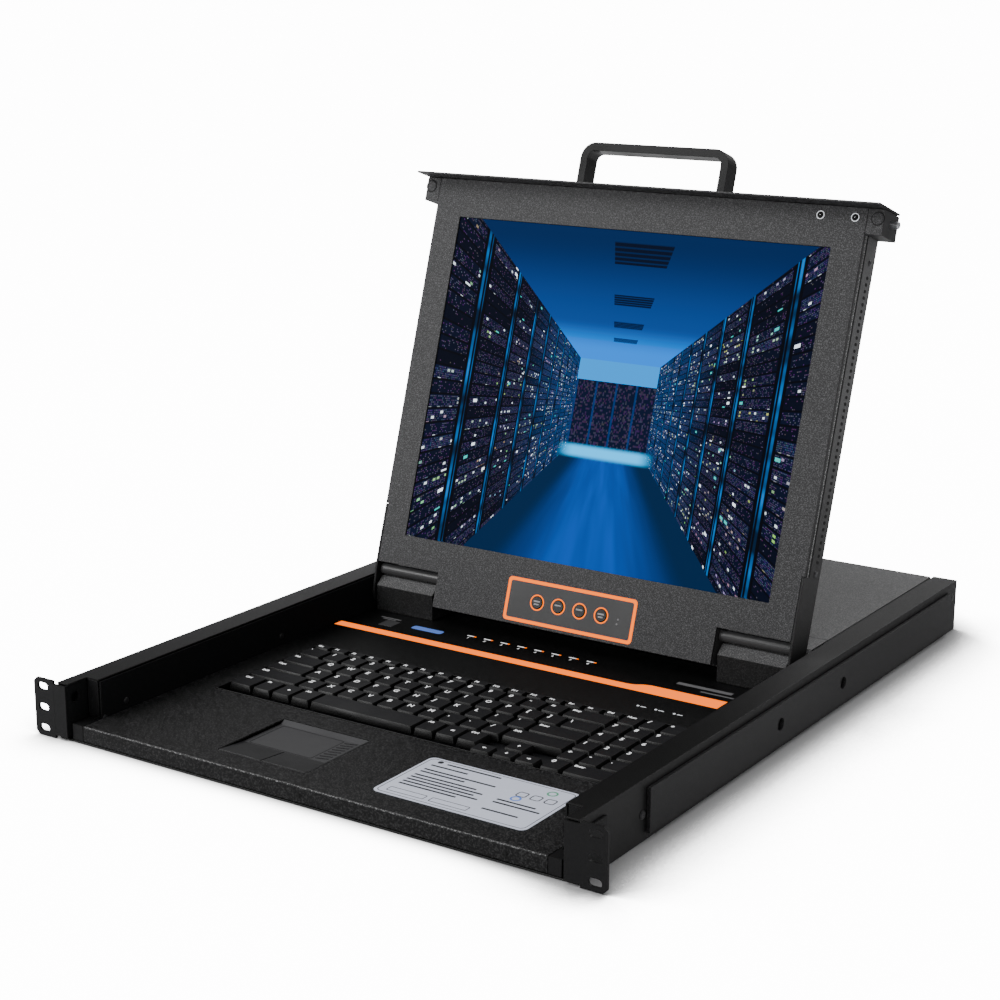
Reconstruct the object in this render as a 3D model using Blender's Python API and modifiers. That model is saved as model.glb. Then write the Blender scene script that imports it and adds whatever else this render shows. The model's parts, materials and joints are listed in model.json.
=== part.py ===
"""A 1U rack console drawer: a chassis on rack ears, a telescopic keyboard drawer and a fold-up monitor.

Lengths are in millimetres and are turned into metres as the shapes are made. Chassis and drawer
pieces are measured from the ears' front plane (Y), the chassis underside (Z) and mid-width (X).
Monitor pieces are measured from its hinge axis, in a frame that leans back with the monitor.
"""

import math

import bmesh
import bpy
from mathutils import Matrix, Vector

MM = 0.001

# Driving dimensions: the rack standard, the chassis and the screen.
EAR_SPAN = 482.6
EAR_HEIGHT = 43.6
RACK_HOLE_SPACING = 465.1
RACK_HOLE_RISE = 15.875
CHASSIS_WIDTH = 439.6
CHASSIS_HEIGHT = 42.8
CHASSIS_DEPTH = 611.0
SCREEN_WIDTH = 338.3
SCREEN_HEIGHT = 270.7
DRAWER_LENGTH = 401.7
MONITOR_LEAN_DEG = 17.4

SHEET = 1.2
GAP = 0.3
TUCK = 0.05  # a joined piece starts this far inside its neighbour's faces, so that none coincide
ROUND_STEPS = 24
SMALL_STEPS = 16

# Chassis.
HALF_CHASSIS = CHASSIS_WIDTH / 2
SHELL_FRONT = 2.5
FLANGE_INNER = 198.8
FRONT_FLANGE_INNER = 210.0
FRONT_FLANGE_END = 22.0
EAR_THICKNESS = 2.0
EAR_TALL_FROM = 222.0
EAR_NOTCH = 2.3
EAR_CHAMFER = 3.0
EAR_LEG_INNER = 210.2
EAR_LEG_LENGTH = 21.5
EAR_OUTER_LEG_LENGTH = 32.0
EAR_OUTER_LEG_RISE = (3.0, 36.0)
EAR_LEG_THICKNESS = 1.5
SLOT_LENGTH = 10.0
SLOT_WIDTH = 5.6
PLATE_FRONT, PLATE_BACK = 83.7, 592.0
PLATE_LOW, PLATE_HIGH = 5.0, 36.2
PLATE_HOLES = (271.0, 377.0)
PLATE_HOLE_RADIUS = 4.7
PLATE_THICKNESS = 2.9
HOUSING_FRONT = DRAWER_LENGTH + 0.7
COVER_HALF = 197.0
REAR_PANEL_FRONT = 608.6
PORT_COUNT = 8
PORT_PITCH = 16.3
PORT_ROW_MIDDLE = -50.0

SLIDE_FRONT = 24.0
SLIDE_OUTER_BACK = 560.0
SLIDE_MIDDLE_BACK, SLIDE_INNER_BACK = 400.0, 400.0
SLIDE_FEET = (60.0, 500.0)
SLIDE_FOOT_LENGTH = 36.0
SLIDE_FOOT_RISE = (14.0, 31.0)

# Each slide member's web, lip end, underside and top.
OUTER_CHANNEL = (211.4, 204.6, 9.6, 35.4)
MIDDLE_CHANNEL = (209.8, 201.8, 11.1, 33.9)
INNER_CHANNEL = (198.7, 208.2, 12.6, 32.4)
INNER_LINK = ((16.0, 26.0), (6.0, 15.0))
CORNER_CAP = (197.4, 207.1)
CORNER_CAP_BACK = 20.0

COVER_SKIRT = 30.0
OPENING_MARGIN = 0.4
SOCKET_WALL = 2.1
SOCKET_DEPTH = 16.0
SOCKET_SILL, SOCKET_HEAD = 2.0, 3.0
USB_WALL = 1.2
USB_SILL = 1.4
USB_PITCH = 7.6
USB_RISE = 5.6
USB_DEPTH = 12.0
CONNECTOR_BASE = 8.0

# Each rear connector's left edge, right edge, length into the case and height.
PORT_ROW_HALF = PORT_COUNT * PORT_PITCH / 2
CONNECTORS = {
    "computer_ports": (PORT_ROW_MIDDLE - PORT_ROW_HALF, PORT_ROW_MIDDLE + PORT_ROW_HALF, 23.0, 15.0),
    "console_video_port": (40.0, 72.0, 19.0, 13.0),
    "console_usb_ports": (84.0, 99.0, 19.0, 16.0),
    "power_inlet": (140.0, 171.0, 25.0, 25.0),
}
SWITCH_BOARD = ((-180.0, 440.0, 5.0), (95.0, 586.0, 6.6))
POWER_SUPPLY = ((112.0, 440.0, 3.0), (186.0, 572.0, 35.0))
CONTROL_BOARD = ((-185.0, 262.0, 4.2), (120.0, 336.0, 5.8))

# Drawer.
DECK_HALF = 196.8
DECK_TOP = 13.4
DECK_FRONT = 2.85
DECK_BACK = 372.0
TRAY_BOTTOM = 1.7
TRAY_WALL_OUTER = 198.4
TRAY_WALL_FRONT = 22.5
TRAY_WALL_TOP = 41.2
PAD_LEFT, PAD_RIGHT = -88.0, -11.0
PAD_FRONT, PAD_BACK = 24.0, 96.0
PAD_BOTTOM = 7.0
PAD_LEDGE = 9.2
PAD_SURFACE = 11.0
PAD_RIM = 5.5
BUTTON_BACK = 49.9
BUTTON_SPLIT = -50.0
KEYS_LEFT, KEYS_RIGHT = -172.0, 167.5
KEYS_FRONT, KEYS_BACK = 119.0, 241.5
KEY_TOP = 14.9
KEY_GAP = 1.7
KEY_UNIT = 18.56
FUNCTION_KEY = 16.82
WEB_LOW, WEB_HIGH = 9.4, 10.2
LABEL_LOW = (44.0, 25.3, DECK_TOP + 0.02)
LABEL_HIGH = (165.0, 95.6, DECK_TOP + 0.3)
ROW_LINES = (241.5, 231.0, 211.4, 191.8, 172.2, 152.6, 130.0)
NUMPAD_LEFT = 114.0
NUMPAD_ROWS = 6
RIGHT_MODIFIERS_LEFT = 0.4
ARROW_LENGTH = 15.0
POWER_BUTTON_AT = (-159.3, 318.0)
POWER_BUTTON_SIDE = 13.3
HINGE_BLOCK_FRONT, HINGE_BLOCK_BACK = 342.9, 370.0
HINGE_BLOCK_INNER, HINGE_BLOCK_OUTER = 133.5, 190.7
HINGE_BLOCK_TOP = 42.0
HINGE_BLOCK_SLOPE = (7.8, 6.7)

# Hinge and monitor. Depth counts from the bezel's front face, height from the screen's lower edge.
HINGE_Y, HINGE_Z = 352.6, 29.07
HINGE_DEPTH = 13.45
HINGE_HEIGHT = -49.0
MONITOR_HALF = 194.2
MONITOR_TOP = 302.0
MONITOR_DEPTH = 28.0
BEZEL_DEPTH = 2.7
BODY_BOTTOM = -25.5
LOWER_HALF = 130.1
LOWER_BOTTOM = -54.5
LOWER_DEPTH = 21.5
SIDE_INNER = 192.4
SIDE_STEP_HEIGHT = 23.6
PANEL_HALF = 209.2
PANEL_FRONT, PANEL_BACK = -15.4, 25.3
HANDLE_HALF = 67.5
HANDLE_TOP = 341.7
HANDLE_FRONT = 9.0
HANDLE_BAR = 6.8
LATCH_DEPTH, LATCH_HEIGHT = 16.0, 293.8
LATCH_RADIUS = 3.0
OSD_HEIGHT = -34.0
OSD_RADIUS = 5.0
OSD_X = (-30.7, -10.8, 9.2, 29.2)
PIN_RADIUS = 3.0
PIN_INNER, PIN_LENGTH = 171.0, 24.0
PIN_HEAD_RADIUS, PIN_HEAD_THICKNESS = 5.2, 1.6
SIDE_END_RADIUS = 11.5
LATCH_OUTER, LATCH_BOTTOM = 207.9, 282.5
LATCH_PIN_INNER, LATCH_PIN_LENGTH = 199.9, 14.0
TUBE_INNER, TUBE_OUTER = 131.0, 191.6
TUBE_DEPTH, TUBE_HEIGHT = 9.5, -31.0
TUBE_RADIUS = 4.9
MODULE_HALF, MODULE_BACK = 172.0, 14.0
MODULE_LOW, MODULE_HIGH = -3.0, 274.0
HANDLE_BEND = 13.0
OSD_STAND = 0.8
OSD_BUTTON_LENGTH = 4.8
OSD_BOARD = ((-70.0, 70.0), (6.0, 7.6), (-48.0, -20.0))


def clear_scene():
    for obj in list(bpy.data.objects):
        bpy.data.objects.remove(obj, do_unlink=True)


def new_collection(name):
    collection = bpy.data.collections.new(name)
    bpy.context.scene.collection.children.link(collection)
    return collection


def new_empty(name, location, parent=None, lean_deg=0.0):
    empty = bpy.data.objects.new(name, None)
    empty.location = Vector(location) * MM
    empty.rotation_euler = (-math.radians(lean_deg), 0.0, 0.0)
    empty.parent = parent
    PARTS.objects.link(empty)
    return empty


def new_material(name, color, roughness, metallic=0.0, emission=0.0):
    material = bpy.data.materials.new(name)
    material.use_nodes = True
    shader = material.node_tree.nodes["Principled BSDF"]
    shader.inputs["Base Color"].default_value = (*color, 1.0)
    shader.inputs["Roughness"].default_value = roughness
    shader.inputs["Metallic"].default_value = metallic
    shader.inputs["Emission Color"].default_value = (*color, 1.0)
    shader.inputs["Emission Strength"].default_value = emission
    material.diffuse_color = (*color, 1.0)
    return material


def finish_object(name, bm, finish):
    """Links the bmesh as an object whose vertices are in metres, with its faces turned outwards."""
    bmesh.ops.scale(bm, vec=(MM, MM, MM), verts=bm.verts)
    bmesh.ops.recalc_face_normals(bm, faces=bm.faces)
    mesh = bpy.data.meshes.new(name)
    bm.to_mesh(mesh)
    bm.free()
    mesh.shade_smooth()
    mesh.set_sharp_from_angle(angle=math.radians(35))
    obj = bpy.data.objects.new(name, mesh)
    parent, material = finish
    obj.parent = parent
    obj.data.materials.append(material)
    PARTS.objects.link(obj)
    return obj


def block(name, low, high, finish):
    """A box between two corners."""
    low, high = Vector(low), Vector(high)
    bm = bmesh.new()
    bmesh.ops.create_cube(bm, size=1.0)
    bmesh.ops.scale(bm, vec=high - low, verts=bm.verts)
    bmesh.ops.translate(bm, vec=(low + high) / 2, verts=bm.verts)
    return finish_object(name, bm, finish)


def rod(name, radius, start, length, axis, finish, steps=ROUND_STEPS):
    """A cylinder that leaves start along +axis, or along -axis for a negative length."""
    turn = {
        "X": Matrix.Rotation(math.radians(90), 4, "Y"),
        "Y": Matrix.Rotation(math.radians(-90), 4, "X"),
        "Z": Matrix.Identity(4),
    }[axis]
    middle = Vector(start) + turn.to_3x3() @ Vector((0.0, 0.0, length / 2))
    bm = bmesh.new()
    bmesh.ops.create_cone(
        bm, cap_ends=True, segments=steps, radius1=radius, radius2=radius, depth=abs(length),
        matrix=Matrix.Translation(middle) @ turn,
    )
    return finish_object(name, bm, finish)


def arc(middle, radius, start_deg, end_deg, steps):
    """Points along an arc, ends included."""
    points = []
    for i in range(steps + 1):
        angle = math.radians(start_deg + (end_deg - start_deg) * i / steps)
        points.append((middle[0] + radius * math.cos(angle), middle[1] + radius * math.sin(angle)))
    return points


def extruded(name, outline, axis, low, high, finish, holes=()):
    """A flat outline pushed along an axis. It is drawn in XY for Z, in XZ for Y and in YZ for X."""
    columns = {
        "X": ((0, 1, 0), (0, 0, 1), (1, 0, 0)),
        "Y": ((1, 0, 0), (0, 0, 1), (0, -1, 0)),
        "Z": ((1, 0, 0), (0, 1, 0), (0, 0, 1)),
    }[axis]
    curve = bpy.data.curves.new(name + "_outline", "CURVE")
    curve.dimensions = "2D"
    curve.fill_mode = "BOTH"
    curve.extrude = (high - low) / 2
    for loop in (outline, *holes):
        spline = curve.splines.new("POLY")
        spline.points.add(len(loop) - 1)
        for point, (u, v) in zip(spline.points, loop):
            point.co = (u, v, 0.0, 1.0)
        spline.use_cyclic_u = True
    sheet = bpy.data.objects.new(name + "_outline", curve)
    PARTS.objects.link(sheet)
    evaluated = sheet.evaluated_get(bpy.context.evaluated_depsgraph_get())
    flat = bpy.data.meshes.new_from_object(evaluated)
    bm = bmesh.new()
    bm.from_mesh(flat)
    bmesh.ops.remove_doubles(bm, verts=bm.verts, dist=0.0001)
    turn = Matrix(columns).transposed().to_4x4()
    push = Vector(columns[2]) * (low + high) / 2
    if axis == "Y":
        push = -push
    bmesh.ops.transform(bm, matrix=Matrix.Translation(push) @ turn, verts=bm.verts)
    bpy.data.objects.remove(sheet)
    bpy.data.curves.remove(curve)
    bpy.data.meshes.remove(flat)
    return finish_object(name, bm, finish)


def rectangle(u_range, v_range):
    (u_low, u_high), (v_low, v_high) = u_range, v_range
    return [(u_low, v_low), (u_high, v_low), (u_high, v_high), (u_low, v_high)]


def circle(middle, radius, steps=ROUND_STEPS):
    return arc(middle, radius, 0, 360 - 360 / steps, steps - 1)


def combine(target, operation, tools):
    """Adds a Boolean for each tool, which becomes a hidden helper."""
    for tool in tools:
        modifier = target.modifiers.new(tool.name, "BOOLEAN")
        modifier.operation = operation
        modifier.object = tool
        tool.hide_render = True
        tool.display_type = "WIRE"
        PARTS.objects.unlink(tool)
        HELPERS.objects.link(tool)
    return target


def cut(target, *tools):
    return combine(target, "DIFFERENCE", tools)


def join(target, *tools):
    return combine(target, "UNION", tools)


def mirrored(outline, side):
    return [(side * u, v) for u, v in outline]


def ordered(first, second):
    return min(first, second), max(first, second)


def side_block(name, side, x_range, y_range, z_range, finish):
    """A box on the side given, with its X range counted outwards from mid-width."""
    x_low, x_high = ordered(side * x_range[0], side * x_range[1])
    low = (x_low, y_range[0], z_range[0])
    high = (x_high, y_range[1], z_range[1])
    return block(name, low, high, finish)


def side_name(side):
    return "left" if side < 0 else "right"


# ---------------------------------------------------------------- chassis


def chassis_shell(finish):
    """One folded sheet: floor, side walls and inward top flanges, narrower in front of the drawer."""
    outer, inner = HALF_CHASSIS, HALF_CHASSIS - SHEET
    top, under = CHASSIS_HEIGHT, CHASSIS_HEIGHT - SHEET
    half = [(FLANGE_INNER, top), (outer, top), (outer, 0.0)]
    back = [(inner, SHEET), (inner, under), (FLANGE_INNER, under)]
    outline = mirrored(half, -1) + list(reversed(half)) + list(reversed(back)) + mirrored(back, -1)
    shell = extruded("chassis_shell", outline, "Y", SHELL_FRONT, CHASSIS_DEPTH, finish)
    for side in (-1, 1):
        notch = side_block(
            f"flange_notch_{side_name(side)}", side, (FLANGE_INNER - 5, FRONT_FLANGE_INNER),
            (SHELL_FRONT - 5, FRONT_FLANGE_END), (under - 1, top + 5), finish,
        )
        cut(shell, notch)
    return shell


def slot_outline(middle, length, width, steps=8):
    """A rounded slot that lies along the first axis."""
    reach, radius = (length - width) / 2, width / 2
    right = arc((middle[0] + reach, middle[1]), radius, -90, 90, steps)
    left = arc((middle[0] - reach, middle[1]), radius, 90, 270, steps)
    return right + left


def rack_ear(side, finish):
    """A slotted plate whose thinner web carries two legs: an inner one for the latch and an outer one."""
    name = f"rack_ear_{side_name(side)}"
    edge, low, high = EAR_SPAN / 2, 0.0, EAR_HEIGHT
    outline = [
        (EAR_TALL_FROM, low),
        (edge - EAR_CHAMFER, low),
        (edge, low + EAR_CHAMFER),
        (edge, high - EAR_CHAMFER),
        (edge - EAR_CHAMFER, high),
        (EAR_TALL_FROM, high),
    ]
    slots = []
    for row in (-1, 0, 1):
        middle = (side * RACK_HOLE_SPACING / 2, EAR_HEIGHT / 2 + row * RACK_HOLE_RISE)
        slots.append(slot_outline(middle, SLOT_LENGTH, SLOT_WIDTH))
    ear = extruded(name, mirrored(outline, side), "Y", 0.0, EAR_THICKNESS, finish, slots)
    web_x = (EAR_LEG_INNER, EAR_TALL_FROM + 1)
    web_z = (EAR_NOTCH, high - EAR_NOTCH)
    web = side_block(name + "_web", side, web_x, (TUCK, EAR_THICKNESS - 0.2), web_z, finish)
    leg_x = (EAR_LEG_INNER + TUCK, EAR_LEG_INNER + EAR_LEG_THICKNESS)
    leg_z = (EAR_NOTCH + TUCK, high - EAR_NOTCH - TUCK)
    leg = side_block(name + "_leg", side, leg_x, (0.5, EAR_LEG_LENGTH), leg_z, finish)
    outer = HALF_CHASSIS + GAP
    outer_leg = side_block(
        name + "_outer_leg", side, (outer, outer + EAR_LEG_THICKNESS), (0.5, EAR_OUTER_LEG_LENGTH),
        EAR_OUTER_LEG_RISE, finish,
    )
    join(ear, web, leg, outer_leg)
    strike_y = HINGE_Y - (LATCH_HEIGHT - HINGE_HEIGHT)
    strike_z = HINGE_Z + LATCH_DEPTH - HINGE_DEPTH
    start = (side * (EAR_LEG_INNER - 3), strike_y, strike_z)
    cut(ear, rod(name + "_strike", LATCH_RADIUS + 1.0, start, side * 8, "X", finish, SMALL_STEPS))
    return ear


def mount_plate(side, finish):
    """The plate on the side wall that the rear rack bracket bolts to."""
    name = f"mount_plate_{side_name(side)}"
    inner = HALF_CHASSIS + GAP
    plate = side_block(
        name, side, (inner, inner + PLATE_THICKNESS), (PLATE_FRONT, PLATE_BACK),
        (PLATE_LOW, PLATE_HIGH), finish,
    )
    for i, y in enumerate(PLATE_HOLES):
        start = (side * (inner - 2), y, (PLATE_LOW + PLATE_HIGH) / 2)
        cut(plate, rod(f"{name}_hole_{i}", PLATE_HOLE_RADIUS, start, side * 8, "X", finish))
    return plate


def channel_outline(web_outer, lip_end, low, high, thickness):
    """A C section with its web at web_outer and its lips reaching lip_end."""
    web_inner = web_outer - math.copysign(thickness, web_outer - lip_end)
    return [
        (lip_end, low),
        (web_outer, low),
        (web_outer, high),
        (lip_end, high),
        (lip_end, high - thickness),
        (web_inner, high - thickness),
        (web_inner, low + thickness),
        (lip_end, low + thickness),
    ]


def slide_outer(side, finish):
    """The fixed slide member, spaced off the side wall by two feet."""
    name = f"slide_outer_{side_name(side)}"
    outline = channel_outline(*OUTER_CHANNEL, SHEET)
    member = extruded(name, mirrored(outline, side), "Y", SLIDE_FRONT, SLIDE_OUTER_BACK, finish)
    for i, y in enumerate(SLIDE_FEET):
        foot_x = (OUTER_CHANNEL[0] - 0.4, HALF_CHASSIS - SHEET - GAP)
        foot_y = (y, y + SLIDE_FOOT_LENGTH)
        foot = side_block(f"{name}_foot_{i}", side, foot_x, foot_y, SLIDE_FOOT_RISE, finish)
        join(member, foot)
    return member


def slide_middle(side, finish):
    outline = channel_outline(*MIDDLE_CHANNEL, SHEET)
    name = f"slide_middle_{side_name(side)}"
    return extruded(name, mirrored(outline, side), "Y", SLIDE_FRONT, SLIDE_MIDDLE_BACK, finish)


def slide_inner(side, finish):
    """The drawer's slide member, with the cap that closes the drawer's front corner."""
    name = f"slide_inner_{side_name(side)}"
    outline = channel_outline(*INNER_CHANNEL, SHEET)
    member = extruded(name, mirrored(outline, side), "Y", SLIDE_FRONT - 0.5, SLIDE_INNER_BACK, finish)
    web = INNER_CHANNEL[0]
    link = side_block(name + "_link", side, (web + TUCK, web + SHEET - TUCK), *INNER_LINK, finish)
    cap = side_block(
        name + "_cap", side, CORNER_CAP, (DECK_FRONT, CORNER_CAP_BACK), (TRAY_BOTTOM, DECK_TOP), finish
    )
    return join(member, link, cap)


def top_cover(finish):
    """The lid of the rear electronics bay, with a skirt down each side."""
    top, under, half = CHASSIS_HEIGHT, CHASSIS_HEIGHT - SHEET, COVER_HALF
    inner, skirt = half - SHEET, COVER_SKIRT
    outline = [
        (-half, skirt), (-half, top), (half, top), (half, skirt),
        (inner, skirt), (inner, under), (-inner, under), (-inner, skirt),
    ]
    return extruded("top_cover", outline, "Y", HOUSING_FRONT, REAR_PANEL_FRONT - 0.4, finish)


def connector_boxes():
    """Each rear connector's low and high corners, by name."""
    boxes = {}
    for name, (left, right, length, rise) in CONNECTORS.items():
        low = (left, CHASSIS_DEPTH - length, CONNECTOR_BASE)
        boxes[name] = (low, (right, CHASSIS_DEPTH, CONNECTOR_BASE + rise))
    return boxes


def rear_panel(boxes, finish):
    """The back plate, with an opening around each connector."""
    half = HALF_CHASSIS - SHEET - GAP
    low = (-half, REAR_PANEL_FRONT, SHEET + GAP)
    high = (half, REAR_PANEL_FRONT + SHEET, CHASSIS_HEIGHT - SHEET - GAP)
    panel = block("rear_panel", low, high, finish)
    for name, (corner, opposite) in boxes.items():
        margin = OPENING_MARGIN
        opening_low = (corner[0] - margin, REAR_PANEL_FRONT - 5, corner[2] - margin)
        opening_high = (opposite[0] + margin, CHASSIS_DEPTH + 5, opposite[2] + margin)
        cut(panel, block(name + "_opening", opening_low, opening_high, finish))
    return panel


def computer_ports(box, finish):
    """The ganged jack that the computers plug into, one socket for each port."""
    low, high = box
    jack = block("computer_ports", low, high, finish)
    for i in range(PORT_COUNT):
        left = low[0] + PORT_PITCH * i + SOCKET_WALL
        socket_low = (left, high[1] - SOCKET_DEPTH, low[2] + SOCKET_SILL)
        socket_high = (left + PORT_PITCH - 2 * SOCKET_WALL, high[1] + 3, high[2] - SOCKET_HEAD)
        cut(jack, block(f"socket_{i}", socket_low, socket_high, finish))
    return jack


def single_port(name, box, rim, depth, finish):
    """A connector shell with one recess, leaving a rim around it."""
    low, high = box
    shell = block(name, low, high, finish)
    recess_low = (low[0] + rim, high[1] - depth, low[2] + rim)
    recess_high = (high[0] - rim, high[1] + 3, high[2] - rim)
    return cut(shell, block(name + "_recess", recess_low, recess_high, finish))


def console_usb_ports(box, finish):
    """Two stacked sockets in one shell."""
    low, high = box
    shell = block("console_usb_ports", low, high, finish)
    for i in range(2):
        bottom = low[2] + USB_SILL + USB_PITCH * i
        socket_low = (low[0] + USB_WALL, high[1] - USB_DEPTH, bottom)
        socket_high = (high[0] - USB_WALL, high[1] + 3, bottom + USB_RISE)
        cut(shell, block(f"usb_socket_{i}", socket_low, socket_high, finish))
    return shell


def build_chassis(parent, colors):
    coat = (parent, colors["powder_coat"])
    chassis_shell(coat)
    boxes = connector_boxes()
    for side in (-1, 1):
        rack_ear(side, coat)
        mount_plate(side, coat)
        slide_outer(side, (parent, colors["zinc"]))
    top_cover(coat)
    rear_panel(boxes, coat)
    computer_ports(boxes["computer_ports"], (parent, colors["connector"]))
    single_port(
        "console_video_port", boxes["console_video_port"], 1.6, 6.0, (parent, colors["port_metal"])
    )
    console_usb_ports(boxes["console_usb_ports"], (parent, colors["port_metal"]))
    single_port("power_inlet", boxes["power_inlet"], 3.2, 16.0, (parent, colors["connector"]))
    block("switch_board", *SWITCH_BOARD, (parent, colors["board"]))
    block("power_supply", *POWER_SUPPLY, (parent, colors["zinc"]))


# ---------------------------------------------------------------- drawer


def tray_pan(finish):
    """The drawer's floor and side walls. The walls start behind the monitor's latches."""
    outer, inner = TRAY_WALL_OUTER, TRAY_WALL_OUTER - SHEET
    low, floor = TRAY_BOTTOM, TRAY_BOTTOM + SHEET
    outline = [
        (-outer, TRAY_WALL_TOP), (-outer, low), (outer, low), (outer, TRAY_WALL_TOP),
        (inner, TRAY_WALL_TOP), (inner, floor), (-inner, floor), (-inner, TRAY_WALL_TOP),
    ]
    pan = extruded("tray_pan", outline, "Y", TRAY_WALL_FRONT, DRAWER_LENGTH, finish)
    front = block(
        "tray_pan_front", (-DECK_HALF, DECK_FRONT + SHEET + 0.35, low + TUCK),
        (DECK_HALF, 30, floor - TUCK), finish,
    )
    return join(pan, front)


def keyboard_deck(finish):
    """The top sheet of the drawer, folded down at the front and open for the keys and the pad."""
    under = DECK_TOP - SHEET
    outline = [
        (DECK_FRONT, DECK_TOP), (DECK_BACK, DECK_TOP), (DECK_BACK, under),
        (DECK_FRONT + SHEET, under), (DECK_FRONT + SHEET, TRAY_BOTTOM), (DECK_FRONT, TRAY_BOTTOM),
    ]
    deck = extruded("keyboard_deck", outline, "X", -DECK_HALF, DECK_HALF, finish)
    low, high = under - 3, DECK_TOP + 3
    key_opening = block(
        "key_opening",
        (KEYS_LEFT - 1.4, KEYS_FRONT - 1.4, low),
        (KEYS_RIGHT + 1.4, KEYS_BACK + 1.4, high),
        finish,
    )
    pad_opening = block(
        "pad_opening", (PAD_LEFT, PAD_FRONT, low), (PAD_RIGHT, PAD_BACK, high), finish
    )
    x, y = POWER_BUTTON_AT
    reach = POWER_BUTTON_SIDE / 2 + GAP
    power_opening = block("power_opening", (x - reach, y - reach, low), (x + reach, y + reach, high), finish)
    return cut(deck, key_opening, pad_opening, power_opening)


def touchpad(finish):
    """The pad, its sloping rear rim and the ledge that the two buttons sit over."""
    outline = [
        (PAD_FRONT + GAP, PAD_BOTTOM), (PAD_BACK - GAP, PAD_BOTTOM), (PAD_BACK - GAP, DECK_TOP - GAP),
        (PAD_BACK - PAD_RIM, PAD_SURFACE), (BUTTON_BACK + GAP, PAD_SURFACE),
        (BUTTON_BACK + GAP, PAD_LEDGE), (PAD_FRONT + GAP, PAD_LEDGE),
    ]
    return extruded("touchpad", outline, "X", PAD_LEFT + GAP, PAD_RIGHT - GAP, finish)


def pad_button(name, left, right, finish):
    """A button whose top climbs from the pad to the deck."""
    front = PAD_FRONT + 0.5
    outline = [
        (front, PAD_LEDGE + 1.0), (BUTTON_BACK, PAD_LEDGE + 1.0),
        (BUTTON_BACK, PAD_SURFACE + 0.2), (front, DECK_TOP),
    ]
    return extruded(name, outline, "X", left, right, finish)


def comb_outline(edges):
    """A row of keys seen from the front: keys stand on one web, with a gap between neighbours."""
    left, right = edges[0][0], edges[-1][1]
    outline = [(right - KEY_GAP / 2, WEB_LOW), (left + KEY_GAP / 2, WEB_LOW)]
    for key_left, key_right in edges:
        start, end = key_left + KEY_GAP / 2, key_right - KEY_GAP / 2
        if key_left > left:
            outline.append((start, WEB_HIGH))
        outline += [(start, KEY_TOP), (end, KEY_TOP)]
        if key_right < right:
            outline.append((end, WEB_HIGH))
    return outline


def row_edges(left, widths):
    """The left and right edge of each key in a row."""
    edges = []
    for width in widths:
        edges.append((left, left + width))
        left += width
    return edges


def key_row(name, edges, front, back, finish):
    return extruded(
        name, comb_outline(edges), "Y", front + KEY_GAP / 2, back - KEY_GAP / 2, finish
    )


def letter_row_widths(first, letters):
    """A wide first key, single keys, and a last key that fills the row."""
    total = NUMPAD_LEFT - GAP - KEYS_LEFT
    return [first] + [KEY_UNIT] * letters + [total - first - KEY_UNIT * letters]


def build_main_keys(parent, material):
    """The function row and the four rows of letters and digits."""
    function_widths = [FUNCTION_KEY] * 17
    rows = (
        ("function_keys", function_widths),
        ("number_keys", letter_row_widths(1.25 * KEY_UNIT, 12)),
        ("upper_letter_keys", letter_row_widths(1.82 * KEY_UNIT, 12)),
        ("home_letter_keys", letter_row_widths(2.04 * KEY_UNIT, 11)),
        ("lower_letter_keys", letter_row_widths(2.54 * KEY_UNIT, 10)),
    )
    for i, (name, widths) in enumerate(rows):
        edges = row_edges(KEYS_LEFT, widths)
        key_row(name, edges, ROW_LINES[i + 1], ROW_LINES[i], (parent, material))


def modifier_keys(finish):
    """The keys either side of the space bar, on a web that runs under it."""
    left_edges = row_edges(KEYS_LEFT, [1.2 * KEY_UNIT] + [KEY_UNIT] * 3)
    right_edges = row_edges(RIGHT_MODIFIERS_LEFT, [KEY_UNIT] * 3)
    front, back = ROW_LINES[6], ROW_LINES[5]
    row = key_row("modifier_keys", left_edges, front, back, finish)
    right = key_row("modifier_keys_right", right_edges, front, back, finish)
    web = block(
        "modifier_keys_web", (left_edges[-1][0] + 5, front + 2, WEB_LOW + TUCK),
        (right_edges[0][1] - 5, back - 2, WEB_HIGH - TUCK), finish,
    )
    join(row, web, right)
    low = (left_edges[-1][1] + KEY_GAP / 2, front + KEY_GAP / 2, WEB_HIGH + 2.0)
    high = (right_edges[0][0] - KEY_GAP / 2, back - KEY_GAP / 2, KEY_TOP)
    block("space_bar", low, high, finish)


def arrow_keys(finish):
    """An inverted T of four keys."""
    left = RIGHT_MODIFIERS_LEFT + 3 * KEY_UNIT
    middle = KEYS_FRONT + ARROW_LENGTH
    edges = row_edges(left, [KEY_UNIT] * 3)
    row = key_row("arrow_keys", edges, KEYS_FRONT, middle, finish)
    up_left, up_right = edges[1]
    up = block(
        "arrow_up", (up_left + KEY_GAP / 2, middle + KEY_GAP / 2, WEB_LOW),
        (up_right - KEY_GAP / 2, ROW_LINES[5] - KEY_GAP / 2 - 1.5, KEY_TOP), finish,
    )
    web = block(
        "arrow_web", (up_left + 4, middle - 5, WEB_LOW + TUCK),
        (up_right - 4, middle + 5, WEB_HIGH - TUCK), finish,
    )
    return join(row, web, up)


def numpad_keys(finish):
    """Three columns of keys on one web, parted crosswise between the rows."""
    column = (KEYS_RIGHT - NUMPAD_LEFT) / 3
    edges = row_edges(NUMPAD_LEFT, [column] * 3)
    pad = key_row("numpad_keys", edges, KEYS_FRONT, KEYS_BACK, finish)
    pitch = (KEYS_BACK - KEYS_FRONT) / NUMPAD_ROWS
    for i in range(1, NUMPAD_ROWS):
        y = KEYS_FRONT + pitch * i
        groove = block(
            f"numpad_groove_{i}", (NUMPAD_LEFT - 3, y - KEY_GAP / 2, WEB_HIGH),
            (KEYS_RIGHT + 3, y + KEY_GAP / 2, KEY_TOP + 3), finish,
        )
        cut(pad, groove)
    return pad


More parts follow.
